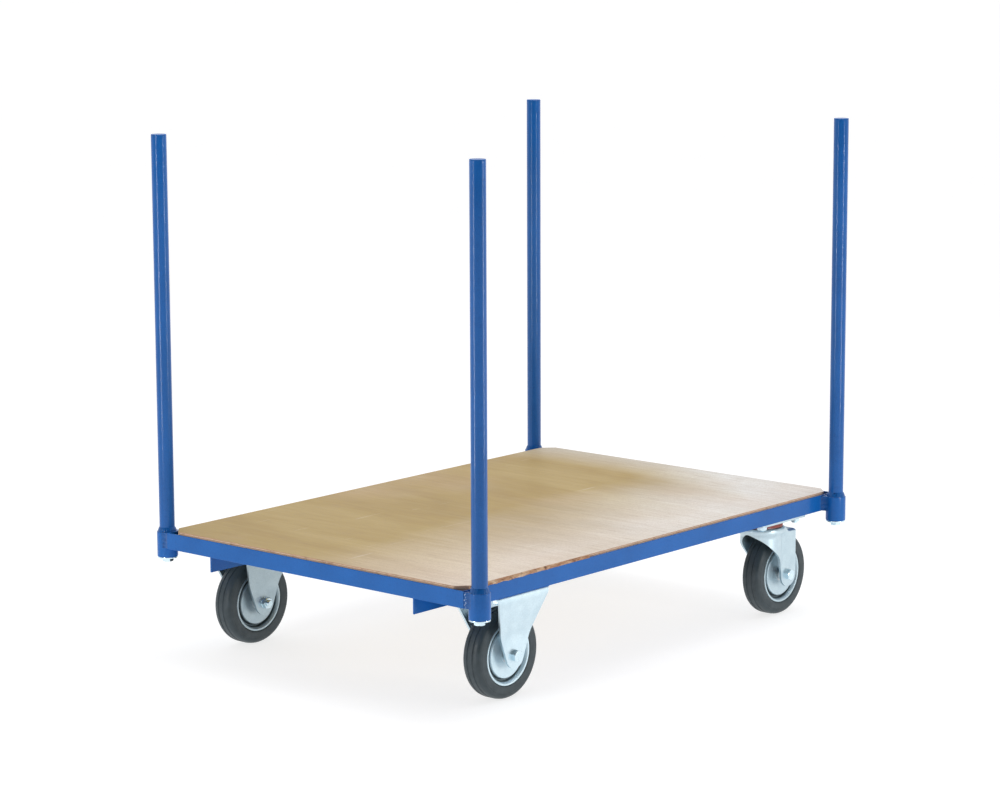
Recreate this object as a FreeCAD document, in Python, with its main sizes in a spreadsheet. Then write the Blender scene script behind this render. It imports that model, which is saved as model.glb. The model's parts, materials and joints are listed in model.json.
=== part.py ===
import FreeCAD, Part
import math
import os
import Sketcher

# Platform trolley with four corner posts.
#
# Millimetres. X runs along the trolley, with the swivel castors at +X (the front) and the fixed
# castors at -X (the rear). Y runs across it, +Y to the left. Z is up, and the wheels stand on z = 0.
# The frame is four mitred angle rails with tubular corner sockets, two castor bearers, four cross
# bearers and a plywood deck. Each post is drawn down into its socket by a bolt from below.

DIMENSIONS = {
    # frame and deck
    "frame_length": 1080,
    "frame_width": 720,
    "angle_leg": 30,
    "angle_wall": 3,
    "bearer_inset": 115,
    "cross_tube": 20,
    "cross_tube_wall": 2,
    "cross_tube_pitch": 333,
    "deck_thickness": 12,
    "deck_gap": 1,
    "deck_corner_cut": 22,
    # corner posts
    "post_diameter": 28,
    "post_wall": 2,
    "post_top": 947,
    "socket_diameter": 38,
    "socket_wall": 4,
    "socket_length": 46,
    "socket_drop": 18,
    "collar_height": 9,
    "cap_thickness": 2,
    "insert_length": 22,
    # castors
    "castor_height": 195,
    "castor_from_centre": 382,
    "castor_from_midline": 304,
    "castor_trail": 42,
    "plate_length": 140,
    "plate_width": 110,
    "plate_corner": 5,
    "plate_thickness": 4,
    "hole_pitch_along": 105,
    "hole_pitch_across": 80,
    "leg_gap": 61,
    "axle_boss_radius": 23,
    "crown_radius": 46,
    "crown_head_radius": 37.5,
    "crown_drop": 13,
    "skirt_radius": 40,
    "leg_drop": 25,
    "ball_circle_radius": 28,
    "ball_radius": 3.5,
    "kingpin_radius": 7,
    # wheels
    "wheel_diameter": 160,
    "tyre_width": 40,
    "rim_radius": 56,
    "rim_disc_radius": 43,
    "rim_channel_depth": 13,
    "hub_radius": 15,
    "hub_length": 59.6,
    "sleeve_radius": 8,
    "axle_radius": 6,
    "running_clearance": 0.08,
    "clearance": 0.3,
}

BALLS = 20
SIDES = {"left": 1, "right": -1}
ENDS = {"front": 1, "rear": -1}
CORNERS = [(end, side) for end in ENDS for side in SIDES]

doc = FreeCAD.newDocument("platform_trolley")
sheet = doc.addObject("Spreadsheet::Sheet", "Dimensions")
for row, (alias, number) in enumerate(DIMENSIONS.items(), start=1):
    sheet.set(f"A{row}", alias)
    sheet.set(f"B{row}", str(number))
    sheet.setAlias(f"B{row}", alias)
doc.recompute()


class Size:
    """A length worked out from sheet cells: its value, and the expression that binds it."""

    def __init__(self, value, text):
        self.value = value
        self.text = text

    def __add__(self, other):
        other = size(other)
        return Size(self.value + other.value, f"({self.text} + {other.text})")

    def __sub__(self, other):
        other = size(other)
        return Size(self.value - other.value, f"({self.text} - {other.text})")

    def __mul__(self, factor):
        return Size(self.value * factor, f"({self.text} * {factor})")

    def __truediv__(self, divisor):
        return Size(self.value / divisor, f"({self.text} / {divisor})")

    def __neg__(self):
        return self * -1

    def __radd__(self, other):
        return size(other) + self

    def __rsub__(self, other):
        return size(other) - self


def size(length):
    """Any number as a Size."""
    return length if isinstance(length, Size) else Size(length, str(length))


def cell(alias):
    """The Size that a sheet cell holds."""
    return Size(float(sheet.get(alias)), f"Dimensions.{alias}")


# ---------------------------------------------------------------------- helpers

parts = []


def finish(shape_object, label):
    """Names a sub-part, which is then checked and written."""
    shape_object.Label = label
    parts.append(shape_object)
    return shape_object


def bind(target, **lengths):
    """Binds properties of an object to sizes."""
    for name, length in lengths.items():
        target.setExpression(name, size(length).text)
    return target


def place(target, x=0, y=0, z=0, turn=0, axis=(0, 0, 1)):
    """Puts an object at a place worked out from the sheet, turned about an axis."""
    target.Placement = FreeCAD.Placement(FreeCAD.Vector(), FreeCAD.Rotation(FreeCAD.Vector(*axis), turn))
    for name, length in (("x", x), ("y", y), ("z", z)):
        target.setExpression(f"Placement.Base.{name}", size(length).text)
    return target


def cylinder(radius, height, **where):
    return place(bind(doc.addObject("Part::Cylinder", "Cylinder"), Radius=radius, Height=height), **where)


def cone(lower, upper, height, **where):
    solid = doc.addObject("Part::Cone", "Cone")
    return place(bind(solid, Radius1=lower, Radius2=upper, Height=height), **where)


def prism(across_flats, height, **where):
    """A hexagonal prism, as a nut or a bolt head."""
    solid = doc.addObject("Part::Prism", "Prism")
    solid.Polygon = 6
    return place(bind(solid, Circumradius=across_flats / 3 ** 0.5, Height=height), **where)


def cut(base, tool):
    solid = doc.addObject("Part::Cut", "Cut")
    solid.Base = base
    solid.Tool = tool
    return solid


def fuse(*solids):
    solid = doc.addObject("Part::MultiFuse", "Fuse")
    solid.Shapes = list(solids)
    return solid


def group(*solids):
    """Separate identical pieces held as one compound."""
    compound = doc.addObject("Part::Compound", "Group")
    compound.Links = list(solids)
    return compound


def new_body():
    return doc.addObject("PartDesign::Body", "Body")


def plane(body, role):
    return next(feature for feature in body.Origin.OriginFeatures if feature.Role == role)


def fix_point(sketch, geometry, end, x, y):
    """Holds a point of a sketch at a place worked out from the sheet."""
    for kind, length in (("DistanceX", size(x)), ("DistanceY", size(y))):
        row = sketch.addConstraint(Sketcher.Constraint(kind, -1, 1, geometry, end, length.value))
        sketch.setExpression(f"Constraints[{row}]", length.text)


def new_sketch(body, role, height=0):
    """A sketch on one of the body's own origin planes, or raised from it."""
    sketch = body.newObject("Sketcher::SketchObject", "Sketch")
    sketch.AttachmentSupport = [(plane(body, role), "")]
    sketch.MapMode = "FlatFace"
    sketch.setExpression("AttachmentOffset.Base.z", size(height).text)
    return sketch


def add_outline(sketch, points):
    """Adds a closed outline. A point is (x, y), or (x, y, radius, bend) where an arc leads to it
    from the point before: its bend is 1 counter-clockwise and -1 clockwise."""
    first = len(sketch.Geometry)
    corners = [FreeCAD.Vector(size(point[0]).value, size(point[1]).value, 0) for point in points]
    ends = []
    for index, point in enumerate(points):
        start, end = corners[index - 1], corners[index]
        if len(point) == 2:
            sketch.addGeometry(Part.LineSegment(start, end))
            ends.append((1, 2))
            continue
        radius, bend = size(point[2]), point[3]
        chord = end - start
        rise = radius.value - max(radius.value ** 2 - chord.Length ** 2 / 4, 0) ** 0.5
        middle = (start + end) * 0.5 + FreeCAD.Vector(chord.y, -chord.x, 0) * (bend * rise / chord.Length)
        sketch.addGeometry(Part.Arc(start, middle, end))
        row = sketch.addConstraint(Sketcher.Constraint("Radius", first + index, radius.value))
        sketch.setExpression(f"Constraints[{row}]", radius.text)
        ends.append((1, 2) if bend > 0 else (2, 1))
    for index, point in enumerate(points):
        following = (index + 1) % len(points)
        joined = (first + index, ends[index][1], first + following, ends[following][0])
        sketch.addConstraint(Sketcher.Constraint("Coincident", *joined))
        fix_point(sketch, first + index, ends[index][1], point[0], point[1])


def add_hole(sketch, radius, x=0, y=0):
    """Adds a circle."""
    radius = size(radius)
    centre = FreeCAD.Vector(size(x).value, size(y).value, 0)
    index = sketch.addGeometry(Part.Circle(centre, FreeCAD.Vector(0, 0, 1), radius.value))
    row = sketch.addConstraint(Sketcher.Constraint("Radius", index, radius.value))
    sketch.setExpression(f"Constraints[{row}]", radius.text)
    fix_point(sketch, index, 3, x, y)


def pad(body, sketch, length, midplane=False):
    feature = body.newObject("PartDesign::Pad", "Pad")
    feature.Profile = sketch
    feature.Midplane = midplane
    return bind(feature, Length=length)


def pocket(body, sketch, depth=None, midplane=False):
    """Cuts a sketch to a depth below its plane or, with no depth, right through to both sides.
    A midplane pocket has its depth halved on either side of its plane."""
    feature = body.newObject("PartDesign::Pocket", "Pocket")
    feature.Profile = sketch
    feature.Midplane = midplane or depth is None
    if depth is None:
        feature.Type = "ThroughAll"
        return feature
    return bind(feature, Length=depth)


def rectangle(x_low, x_high, y_low, y_high):
    return [(x_low, y_low), (x_high, y_low), (x_high, y_high), (x_low, y_high)]


def rounded_rectangle(half_x, half_y, radius):
    return [
        (half_x - radius, -half_y),
        (half_x, radius - half_y, radius, 1),
        (half_x, half_y - radius),
        (half_x - radius, half_y, radius, 1),
        (radius - half_x, half_y),
        (-half_x, half_y - radius, radius, 1),
        (-half_x, radius - half_y),
        (radius - half_x, -half_y, radius, 1),
    ]


def turned(body, points, feature_type="PartDesign::Revolution"):
    """Turns an outline, given as (radius, height), about the body's vertical axis."""
    sketch = new_sketch(body, "XZ_Plane")
    add_outline(sketch, points)
    feature = body.newObject(feature_type, "Turned")
    feature.Profile = sketch
    feature.ReferenceAxis = (sketch, ["V_Axis"])
    feature.Angle = 360
    return feature


# ------------------------------------------------------------------ shared sizes

leg = cell("angle_leg")
wall = cell("angle_wall")
half_length = cell("frame_length") / 2
half_width = cell("frame_width") / 2
frame_bottom = cell("castor_height")
flange_top = frame_bottom + wall
deck_bottom = flange_top + cell("cross_tube")
deck_top = deck_bottom + cell("deck_thickness")
clearance = cell("clearance")

socket_radius = cell("socket_diameter") / 2
socket_bore = socket_radius - cell("socket_wall")
socket_bottom = frame_bottom - cell("socket_drop")
socket_top = socket_bottom + cell("socket_length")
post_radius = cell("post_diameter") / 2
post_bore = post_radius - cell("post_wall")
post_x = half_length - socket_radius
post_y = half_width + socket_radius

castor_x = cell("castor_from_centre")
castor_y = cell("castor_from_midline")
hole_x = cell("hole_pitch_along") / 2
hole_y = cell("hole_pitch_across") / 2
plate = cell("plate_thickness")
plate_bottom = frame_bottom - plate
wheel_radius = cell("wheel_diameter") / 2
leg_inside = cell("leg_gap") / 2
leg_outside = leg_inside + plate
boss = cell("axle_boss_radius")
trail = cell("castor_trail")
axle = cell("axle_radius")
sleeve = cell("sleeve_radius")

MARGIN = 5
BOLT_RADIUS = 5
BOLT_HOLE_RADIUS = 5.4
BOLT_FLATS = 16
NUT_HEIGHT = 8
THREAD_GAP = 0.05


# ------------------------------------------------------------------------- frame

SCREW_RADIUS = 2.4
SCREW_HEAD_RADIUS = 4.5
SCREW_HEAD_HEIGHT = 2.5
SCREW_DEPTH = 9
SCREW_TIP_GAP = 0.5
SCREW_FROM_MIDLINE = 180
CROSS_ROWS = (-1.5, -0.5, 0.5, 1.5)
cross_pitch = cell("cross_tube_pitch")
bolt_places = [castor_x * end + hole_x * along for end in (1, -1) for along in (1, -1)]


def angle_rail(label, half, holes, **where):
    """A mitred angle: web outside, flange at the bottom. Its outer face is on y = 0."""
    body = new_body()
    plan = new_sketch(body, "XY_Plane")
    add_outline(plan, [(-half, 0), (half, 0), (half - leg, leg), (leg - half, leg)])
    pad(body, plan, leg)
    inside = new_sketch(body, "YZ_Plane")
    add_outline(inside, rectangle(wall, leg + MARGIN, wall, leg + MARGIN))
    pocket(body, inside)
    for x in holes:
        drilling = new_sketch(body, "XY_Plane", wall)
        add_hole(drilling, BOLT_HOLE_RADIUS, x, half_width - castor_y - hole_y)
        pocket(body, drilling, wall)
    return finish(place(body, z=frame_bottom, **where), label)


def castor_bearer(side):
    """An angle along the trolley: web down on the inside, flange level with the rails' flanges."""
    sign = SIDES[side]
    body = new_body()
    web_inside = half_width - cell("bearer_inset")
    web = new_sketch(body, "YZ_Plane")
    add_outline(web, rectangle(web_inside * sign, (web_inside + wall) * sign, wall - leg, 0))
    pad(body, web, cell("frame_length"), midplane=True)
    flange = new_sketch(body, "YZ_Plane")
    add_outline(flange, rectangle(web_inside * sign, (web_inside + leg) * sign, 0, wall))
    pad(body, flange, cell("frame_length") - leg * 2, midplane=True)
    for x in bolt_places:
        drilling = new_sketch(body, "XY_Plane", wall)
        add_hole(drilling, BOLT_HOLE_RADIUS, x, (castor_y - hole_y) * sign)
        pocket(body, drilling, wall)
    return finish(place(body, z=frame_bottom), f"castor_bearer_{side}")


def cross_bearer(label, x):
    """A square tube across the frame, standing on the rails' flanges."""
    body = new_body()
    outer = cell("cross_tube") / 2
    inner = outer - cell("cross_tube_wall")
    section = new_sketch(body, "XZ_Plane")
    add_outline(section, rounded_rectangle(outer, outer, cell("cross_tube_wall")))
    add_outline(section, rectangle(-inner, inner, -inner, inner))
    pad(body, section, cell("frame_width") - (wall + cell("deck_gap")) * 2, midplane=True)
    for side in SIDES.values():
        drilling = new_sketch(body, "XY_Plane")
        add_hole(drilling, SCREW_RADIUS + THREAD_GAP, 0, SCREW_FROM_MIDLINE * side)
        pocket(body, drilling)
    return finish(place(body, x=x, z=flange_top + outer), label)


def deck_panel():
    """The plywood board inside the frame, with its corners cut off."""
    body = new_body()
    x = half_length - wall - cell("deck_gap")
    y = half_width - wall - cell("deck_gap")
    corner = cell("deck_corner_cut")
    plan = new_sketch(body, "XY_Plane")
    add_outline(plan, [
        (x - corner, -y), (x, corner - y), (x, y - corner), (x - corner, y),
        (corner - x, y), (-x, y - corner), (-x, corner - y), (corner - x, -y),
    ])
    pad(body, plan, cell("deck_thickness"))
    for row in CROSS_ROWS:
        for side in SIDES.values():
            drilling = new_sketch(body, "XY_Plane", SCREW_DEPTH)
            add_hole(drilling, SCREW_RADIUS + THREAD_GAP, cross_pitch * row, SCREW_FROM_MIDLINE * side)
            pocket(body, drilling, SCREW_DEPTH)
    return finish(place(body, z=deck_bottom), "deck_panel")


def deck_screw(x, y):
    """A pan head screw driven up through a cross bearer into the deck."""
    head = cylinder(SCREW_HEAD_RADIUS, SCREW_HEAD_HEIGHT, x=x, y=y, z=flange_top - SCREW_HEAD_HEIGHT)
    shank_length = cell("cross_tube") + SCREW_DEPTH - SCREW_TIP_GAP
    shank = cylinder(SCREW_RADIUS, shank_length, x=x, y=y, z=flange_top)
    return fuse(head, shank)


angle_rail("long_rail_right", half_length, bolt_places, y=-half_width)
angle_rail("long_rail_left", half_length, bolt_places, y=half_width, turn=180)
angle_rail("end_rail_front", half_width, [], x=half_length, turn=90)
angle_rail("end_rail_rear", half_width, [], x=-half_length, turn=-90)
for side in SIDES:
    castor_bearer(side)
for number, row in enumerate(CROSS_ROWS, start=1):
    cross_bearer(f"cross_bearer_{number}", cross_pitch * row)
deck_panel()
screws = [
    deck_screw(cross_pitch * row, SCREW_FROM_MIDLINE * side)
    for row in CROSS_ROWS for side in SIDES.values()
]
finish(group(*screws), "deck_screws")


# ------------------------------------------------------------------ corner posts

COLLAR_LEDGE = 0.5
COLLAR_LIP = 1
SPIGOT_LENGTH = 10
WASHER_THICKNESS = 3
POST_FOOT_GAP = 2
POST_BOLT_FLATS = 18
POST_BOLT_HEAD = 7
POST_BOLT_TIP_GAP = 2
post_foot = socket_bottom + POST_FOOT_GAP
post_places = [(post_x * ENDS[end], post_y * SIDES[side]) for end, side in CORNERS]


def tube(outer, inner, length, **where):
    """A tube, placed as one object."""
    return place(cut(cylinder(outer, length), cylinder(inner, length)), **where)


def collar(x, y):
    """The coned ring on a post that seats on top of its socket."""
    height = cell("collar_height")
    ring = cone(socket_radius - COLLAR_LEDGE, post_radius + COLLAR_LIP, height)
    return place(cut(ring, cylinder(post_radius + THREAD_GAP, height)), x=x, y=y, z=socket_top)


def post_cap(x, y):
    """A disc on top of a post with a spigot inside its bore."""
    spigot = cylinder(post_bore - THREAD_GAP, SPIGOT_LENGTH, z=-SPIGOT_LENGTH)
    disc = cylinder(post_radius, cell("cap_thickness"))
    return place(fuse(disc, spigot), x=x, y=y, z=cell("post_top"))


def post_insert(x, y):
    """The threaded plug in the bottom end of a post."""
    length = cell("insert_length")
    plug = cylinder(post_bore - THREAD_GAP, length)
    return place(cut(plug, cylinder(axle + THREAD_GAP, length)), x=x, y=y, z=post_foot)


def post_washer(x, y):
    washer = tube(socket_radius - COLLAR_LEDGE, axle + clearance, WASHER_THICKNESS)
    return place(washer, x=x, y=y, z=socket_bottom - WASHER_THICKNESS)


def post_bolt(x, y):
    """The bolt that draws a post down: head under the washer, shank in the plug."""
    head = prism(POST_BOLT_FLATS, POST_BOLT_HEAD, z=-POST_BOLT_HEAD)
    reach = WASHER_THICKNESS + POST_FOOT_GAP + cell("insert_length") - POST_BOLT_TIP_GAP
    shank = cylinder(axle, reach)
    return place(fuse(head, shank), x=x, y=y, z=socket_bottom - WASHER_THICKNESS)


for (end, side), (x, y) in zip(CORNERS, post_places):
    socket = tube(socket_radius, socket_bore, cell("socket_length"), x=x, y=y, z=socket_bottom)
    finish(socket, f"socket_{end}_{side}")
    post = tube(post_radius, post_bore, cell("post_top") - post_foot, x=x, y=y, z=post_foot)
    finish(post, f"post_{end}_{side}")
finish(group(*[collar(x, y) for x, y in post_places]), "post_collars")
finish(group(*[post_cap(x, y) for x, y in post_places]), "post_caps")
finish(group(*[post_insert(x, y) for x, y in post_places]), "post_inserts")
finish(group(*[post_washer(x, y) for x, y in post_places]), "post_washers")
finish(group(*[post_bolt(x, y) for x, y in post_places]), "post_bolts")


# ------------------------------------------------------------------------ wheels

DISC_SET_IN = 4
RIM_SHEET = 2
LIP_SHEET = 1.6
rim = cell("rim_radius")


def mirrored(half):
    """An outline symmetric about height 0, from its upper half given from the inside out."""
    return half + [(radius, -height) for radius, height in reversed(half)]


def tyre(label, **where):
    """A solid rubber tyre, gripped between the two rim discs: bead, side face, then tread."""
    body = new_body()
    half = cell("tyre_width") / 2
    turned(body, mirrored([
        (rim - 5.5, half - 12),
        (rim - 3, half - 5.2),
        (rim + 0.6, half - 3),
        (rim + 0.6, half - 1),
        (rim + 4, half),
        (wheel_radius - 8, half),
        (wheel_radius - 3, half - 2),
        (wheel_radius - 0.6, half - 8),
        (wheel_radius, half - 15),
    ]))
    return finish(place(body, z=wheel_radius, **where), label)


def rim_half(outward):
    """A pressed rim disc: flat centre, channel, and a lip that holds the tyre."""
    body = new_body()
    half = cell("tyre_width") / 2
    inner = cell("hub_radius")
    disc = cell("rim_disc_radius")
    disc_face = half - DISC_SET_IN
    floor = half - cell("rim_channel_depth")
    bead = rim - 5.8
    face = [(inner, disc_face), (disc, disc_face), (disc + 1.8, floor), (bead - LIP_SHEET, floor)]
    lip = [(rim - 7, half - 9.5), (rim - 4.6, half - 3), (rim, half - 1), (rim, half - 3)]
    grip = [(rim - 3.4, half - 4.8), (bead, half - 11.5), (bead, floor - LIP_SHEET)]
    back = [(disc + 0.2, floor - LIP_SHEET), (disc - LIP_SHEET, disc_face - RIM_SHEET)]
    outline = face + lip + grip + back + [(inner, disc_face - RIM_SHEET)]
    turned(body, [(radius, height * outward) for radius, height in outline])
    return body


def hub(label, **where):
    """The tube through the rim that runs on the axle sleeve."""
    half = cell("hub_length") / 2
    solid = tube(cell("hub_radius"), sleeve + cell("running_clearance"), half * 2)
    return finish(turn_to_axle(solid, half, **where), label)


def turn_to_axle(solid, half, x, y):
    """Lays a turned piece of half length `half` along the axle, centred on the wheel."""
    return place(solid, x=x, y=y + half, z=wheel_radius, turn=90, axis=(1, 0, 0))


def wheel(name, x, y):
    tyre(f"tyre_{name}", x=x, y=y, turn=90, axis=(1, 0, 0))
    rims = group(rim_half(1), rim_half(-1))
    finish(place(rims, x=x, y=y, z=wheel_radius, turn=90, axis=(1, 0, 0)), f"rim_{name}")
    hub(f"hub_{name}", x=x, y=y)


# ------------------------------------------------------------------------ axles

AXLE_FLATS = 19
AXLE_HEAD = 7.5
AXLE_NUT = 10
AXLE_TAIL = 5


def axle_sleeve(x, y):
    """The tube clamped between the legs, on which the hub turns."""
    return turn_to_axle(tube(sleeve, axle + THREAD_GAP, cell("leg_gap")), leg_inside, x, y)


def axle_bolt(x, y, sign):
    """The axle bolt, head on the outside of the trolley."""
    head = prism(AXLE_FLATS, AXLE_HEAD, z=leg_outside)
    shank = cylinder(axle, leg_outside * 2 + AXLE_NUT + AXLE_TAIL, z=-leg_outside - AXLE_NUT - AXLE_TAIL)
    return place(fuse(head, shank), x=x, y=y, z=wheel_radius, turn=-90 * sign, axis=(1, 0, 0))


def axle_nut(x, y, sign):
    """The nut on the inside of the trolley."""
    nut = cut(prism(AXLE_FLATS, AXLE_NUT), cylinder(axle + THREAD_GAP, AXLE_NUT))
    return place(nut, x=x, y=y - leg_outside * sign, z=wheel_radius, turn=90 * sign, axis=(1, 0, 0))


# --------------------------------------------------------------- fixed castors

LEG_FOLD = 7
LEG_KNEE = 75
LEG_SHOULDER = 5
LEG_TOUCH = (0.936, 0.352)
leg_foot = wheel_radius - boss - MARGIN


def add_plate(body):
    """The castor's top plate, with its four bolt holes."""
    outline = new_sketch(body, "XY_Plane", plate_bottom)
    half_plate = (cell("plate_length") / 2, cell("plate_width") / 2)
    add_outline(outline, rounded_rectangle(*half_plate, cell("plate_corner")))
    pad(body, outline, plate)


def drill_plate(body):
    holes = new_sketch(body, "XY_Plane", frame_bottom)
    for along in (1, -1):
        for across in (1, -1):
            add_hole(holes, BOLT_HOLE_RADIUS, hole_x * along, hole_y * across)
    pocket(body, holes, plate)


def drill_axle(body, x):
    hole = new_sketch(body, "XZ_Plane")
    add_hole(hole, axle + THREAD_GAP, x, wheel_radius)
    pocket(body, hole)


def fixed_bracket(side):
    """One pressing: the top plate, and two legs that slope in from its edges to the hub."""
    body = new_body()
    add_plate(body)
    edge = cell("plate_width") / 2
    for sign in (1, -1):
        legs = new_sketch(body, "YZ_Plane")
        outer = [(edge, plate_bottom), (edge, plate_bottom - LEG_FOLD)]
        outer += [(leg_outside, plate_bottom - LEG_KNEE), (leg_outside, leg_foot)]
        outline = outer + [(y - plate, z) for y, z in reversed(outer)]
        add_outline(legs, [(y * sign, z) for y, z in outline])
        pad(body, legs, cell("plate_length") - cell("plate_corner") * 2, midplane=True)
    waste = new_sketch(body, "XZ_Plane")
    top_x = cell("plate_length") / 2 - cell("plate_corner")
    touch_x = boss * LEG_TOUCH[0]
    touch_z = wheel_radius - boss * LEG_TOUCH[1]
    add_outline(waste, [
        (touch_x, touch_z, boss, 1),
        (top_x, plate_bottom - LEG_SHOULDER),
        (top_x, plate_bottom),
        (top_x + MARGIN, plate_bottom),
        (top_x + MARGIN, leg_foot - MARGIN),
        (-top_x - MARGIN, leg_foot - MARGIN),
        (-top_x - MARGIN, plate_bottom),
        (-top_x, plate_bottom),
        (-top_x, plate_bottom - LEG_SHOULDER),
        (-touch_x, touch_z),
    ])
    pocket(body, waste)
    drill_plate(body)
    drill_axle(body, 0)
    return finish(place(body, x=-castor_x, y=castor_y * SIDES[side]), f"bracket_rear_{side}")


for side, sign in SIDES.items():
    fixed_bracket(side)
    wheel(f"rear_{side}", -castor_x, castor_y * sign)
rear_places = [(-castor_x, castor_y * sign, sign) for sign in SIDES.values()]
finish(group(*[axle_sleeve(x, y) for x, y, sign in rear_places]), "axle_sleeves_rear")
finish(group(*[axle_bolt(x, y, sign) for x, y, sign in rear_places]), "axle_bolts_rear")
finish(group(*[axle_nut(x, y, sign) for x, y, sign in rear_places]), "axle_nuts_rear")


# --------------------------------------------------------------- swivel castors

RACE_DROP = 7
RACE_REST = 1.5
SEAL_FIT = 0.5
SEAL_WALL = 3
SEAL_LIFT = 1
HEAD_WALL = 8
CAVITY_RADIUS = 31
RIVET_HEIGHT = 7
RIVET_TAPER = 3
RIVET_FLANGE = 6
PIN_DOME = 2
CROWN_EDGE = 8
SKIRT_RISE = 32
SKIRT_TOP = 158
THROAT = 19
SHOULDER_START = 31
SHOULDER_END = 44
SHOULDER_RISE = 1.5
LEAD_KNEE = (-4, 128)
LEAD_RADIUS = 70
LEAD_FOOT = 4
head_radius = cell("crown_head_radius")
ball_height = plate_bottom - RACE_DROP
head_top = ball_height - RACE_REST
crown_top = plate_bottom - cell("crown_drop")
crown_bottom = crown_top - CROWN_EDGE
skirt = cell("skirt_radius")
skirt_bottom = wheel_radius + LEAD_FOOT
skirt_knee = wheel_radius + SKIRT_RISE
legs_top = plate_bottom - cell("leg_drop")
cavity_top = head_top - HEAD_WALL


def swivel_plate(side):
    """The top plate of a swivel castor, with the upper race of its balls underneath."""
    body = new_body()
    add_plate(body)
    pin = cell("kingpin_radius") + THREAD_GAP
    groove = cell("ball_radius") + THREAD_GAP
    race_bottom = ball_height + RACE_REST
    turned(body, [(pin, race_bottom), (head_radius + SEAL_FIT, race_bottom),
                  (head_radius + SEAL_FIT, plate_bottom + 1), (pin, plate_bottom + 1)])
    groove_ring(body, groove)
    bore = new_sketch(body, "XY_Plane")
    add_hole(bore, pin)
    pocket(body, bore)
    drill_plate(body)
    return finish(place(body, x=castor_x, y=castor_y * SIDES[side]), f"swivel_plate_{side}")


def groove_ring(body, radius):
    """Cuts the ball groove."""
    sketch = new_sketch(body, "XZ_Plane")
    add_hole(sketch, radius, cell("ball_circle_radius"), ball_height)
    feature = body.newObject("PartDesign::Groove", "Groove")
    feature.Profile = sketch
    feature.ReferenceAxis = (sketch, ["V_Axis"])
    feature.Angle = 360


def fork(side):
    """The swivel fork: ball head, crown, a skirt round its front, and two legs back to the axle."""
    body = new_body()
    crown = cell("crown_radius")
    legs = new_sketch(body, "XZ_Plane")
    add_outline(legs, [
        (0, leg_foot), (trail + boss, leg_foot), (trail + boss, legs_top),
        (SHOULDER_END, legs_top + SHOULDER_RISE), (SHOULDER_START, crown_top), (0, crown_top),
    ])
    pad(body, legs, leg_outside * 2, midplane=True)
    turned(body, [
        (0, skirt_bottom), (leg_outside, skirt_bottom), (skirt, skirt_knee), (skirt, SKIRT_TOP),
        (crown, crown_bottom), (crown, crown_top), (head_radius, crown_top),
        (head_radius, head_top), (0, head_top),
    ])
    throat = new_sketch(body, "XZ_Plane")
    add_outline(throat, [
        (-THROAT, 0), (trail + boss + MARGIN, 0), (trail + boss + MARGIN, legs_top - plate),
        (SHOULDER_END, legs_top + SHOULDER_RISE - plate), (SHOULDER_START, crown_top - plate),
        (-THROAT, crown_top - plate),
    ])
    pocket(body, throat, cell("leg_gap"), midplane=True)
    cavity = [
        (0, skirt_bottom - MARGIN), (leg_inside, skirt_bottom - MARGIN), (leg_inside, skirt_bottom),
        (skirt - plate, skirt_knee), (skirt - plate, SKIRT_TOP),
        (crown - plate, crown_bottom), (crown - plate, crown_top - plate),
        (CAVITY_RADIUS, crown_top - plate), (CAVITY_RADIUS, cavity_top), (0, cavity_top),
    ]
    turned(body, cavity, "PartDesign::Groove")
    groove_ring(body, cell("ball_radius") + clearance)
    bore = new_sketch(body, "XY_Plane", head_top)
    add_hole(bore, cell("kingpin_radius") + cell("running_clearance"))
    pocket(body, bore, head_top - cavity_top)
    waste = new_sketch(body, "XZ_Plane")
    nose = -crown - MARGIN
    add_outline(waste, [
        (nose, crown_bottom + MARGIN),
        LEAD_KNEE,
        (trail - boss, skirt_bottom, LEAD_RADIUS, -1),
        (trail - boss, wheel_radius),
        (trail, wheel_radius - boss, boss, 1),
        (trail + boss, wheel_radius, boss, 1),
        (trail + boss + MARGIN, wheel_radius),
        (trail + boss + MARGIN, 0),
        (nose, 0),
    ])
    pocket(body, waste)
    drill_axle(body, trail)
    return finish(place(body, x=castor_x, y=castor_y * SIDES[side]), f"fork_{side}")


def race_balls(side):
    balls = []
    for number in range(BALLS):
        angle = 2 * math.pi * number / BALLS
        ball = bind(doc.addObject("Part::Sphere", "Ball"), Radius=cell("ball_radius"))
        circle = cell("ball_circle_radius")
        place(ball, x=circle * math.cos(angle), y=circle * math.sin(angle))
        balls.append(ball)
    where = {"x": castor_x, "y": castor_y * SIDES[side], "z": ball_height}
    return finish(place(group(*balls), **where), f"race_balls_{side}")


def kingpin(side):
    """The riveted pin on which the fork swivels."""
    body = new_body()
    pin = cell("kingpin_radius")
    rivet_top = cavity_top - clearance
    rivet_bottom = rivet_top - RIVET_HEIGHT
    turned(body, [
        (0, rivet_bottom), (pin + RIVET_TAPER, rivet_bottom),
        (pin + RIVET_FLANGE, rivet_bottom + RIVET_TAPER), (pin + RIVET_FLANGE, rivet_top),
        (pin, rivet_top), (pin, frame_bottom), (pin + RIVET_TAPER, frame_bottom),
        (pin + PIN_DOME, frame_bottom + PIN_DOME), (0, frame_bottom + PIN_DOME),
    ])
    return finish(place(body, x=castor_x, y=castor_y * SIDES[side]), f"kingpin_{side}")


def dust_seal(side):
    """The ring that closes the gap round the balls."""
    body = new_body()
    inner = head_radius + SEAL_FIT + THREAD_GAP
    outer = inner + SEAL_WALL
    bottom = crown_top + SEAL_LIFT
    top = plate_bottom - SEAL_LIFT * 2
    turned(body, [
        (inner, bottom), (outer, bottom), (outer, top - SEAL_WALL / 2),
        (outer - SEAL_WALL / 2, top), (inner, top),
    ])
    return finish(place(body, x=castor_x, y=castor_y * SIDES[side]), f"dust_seal_{side}")


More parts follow.
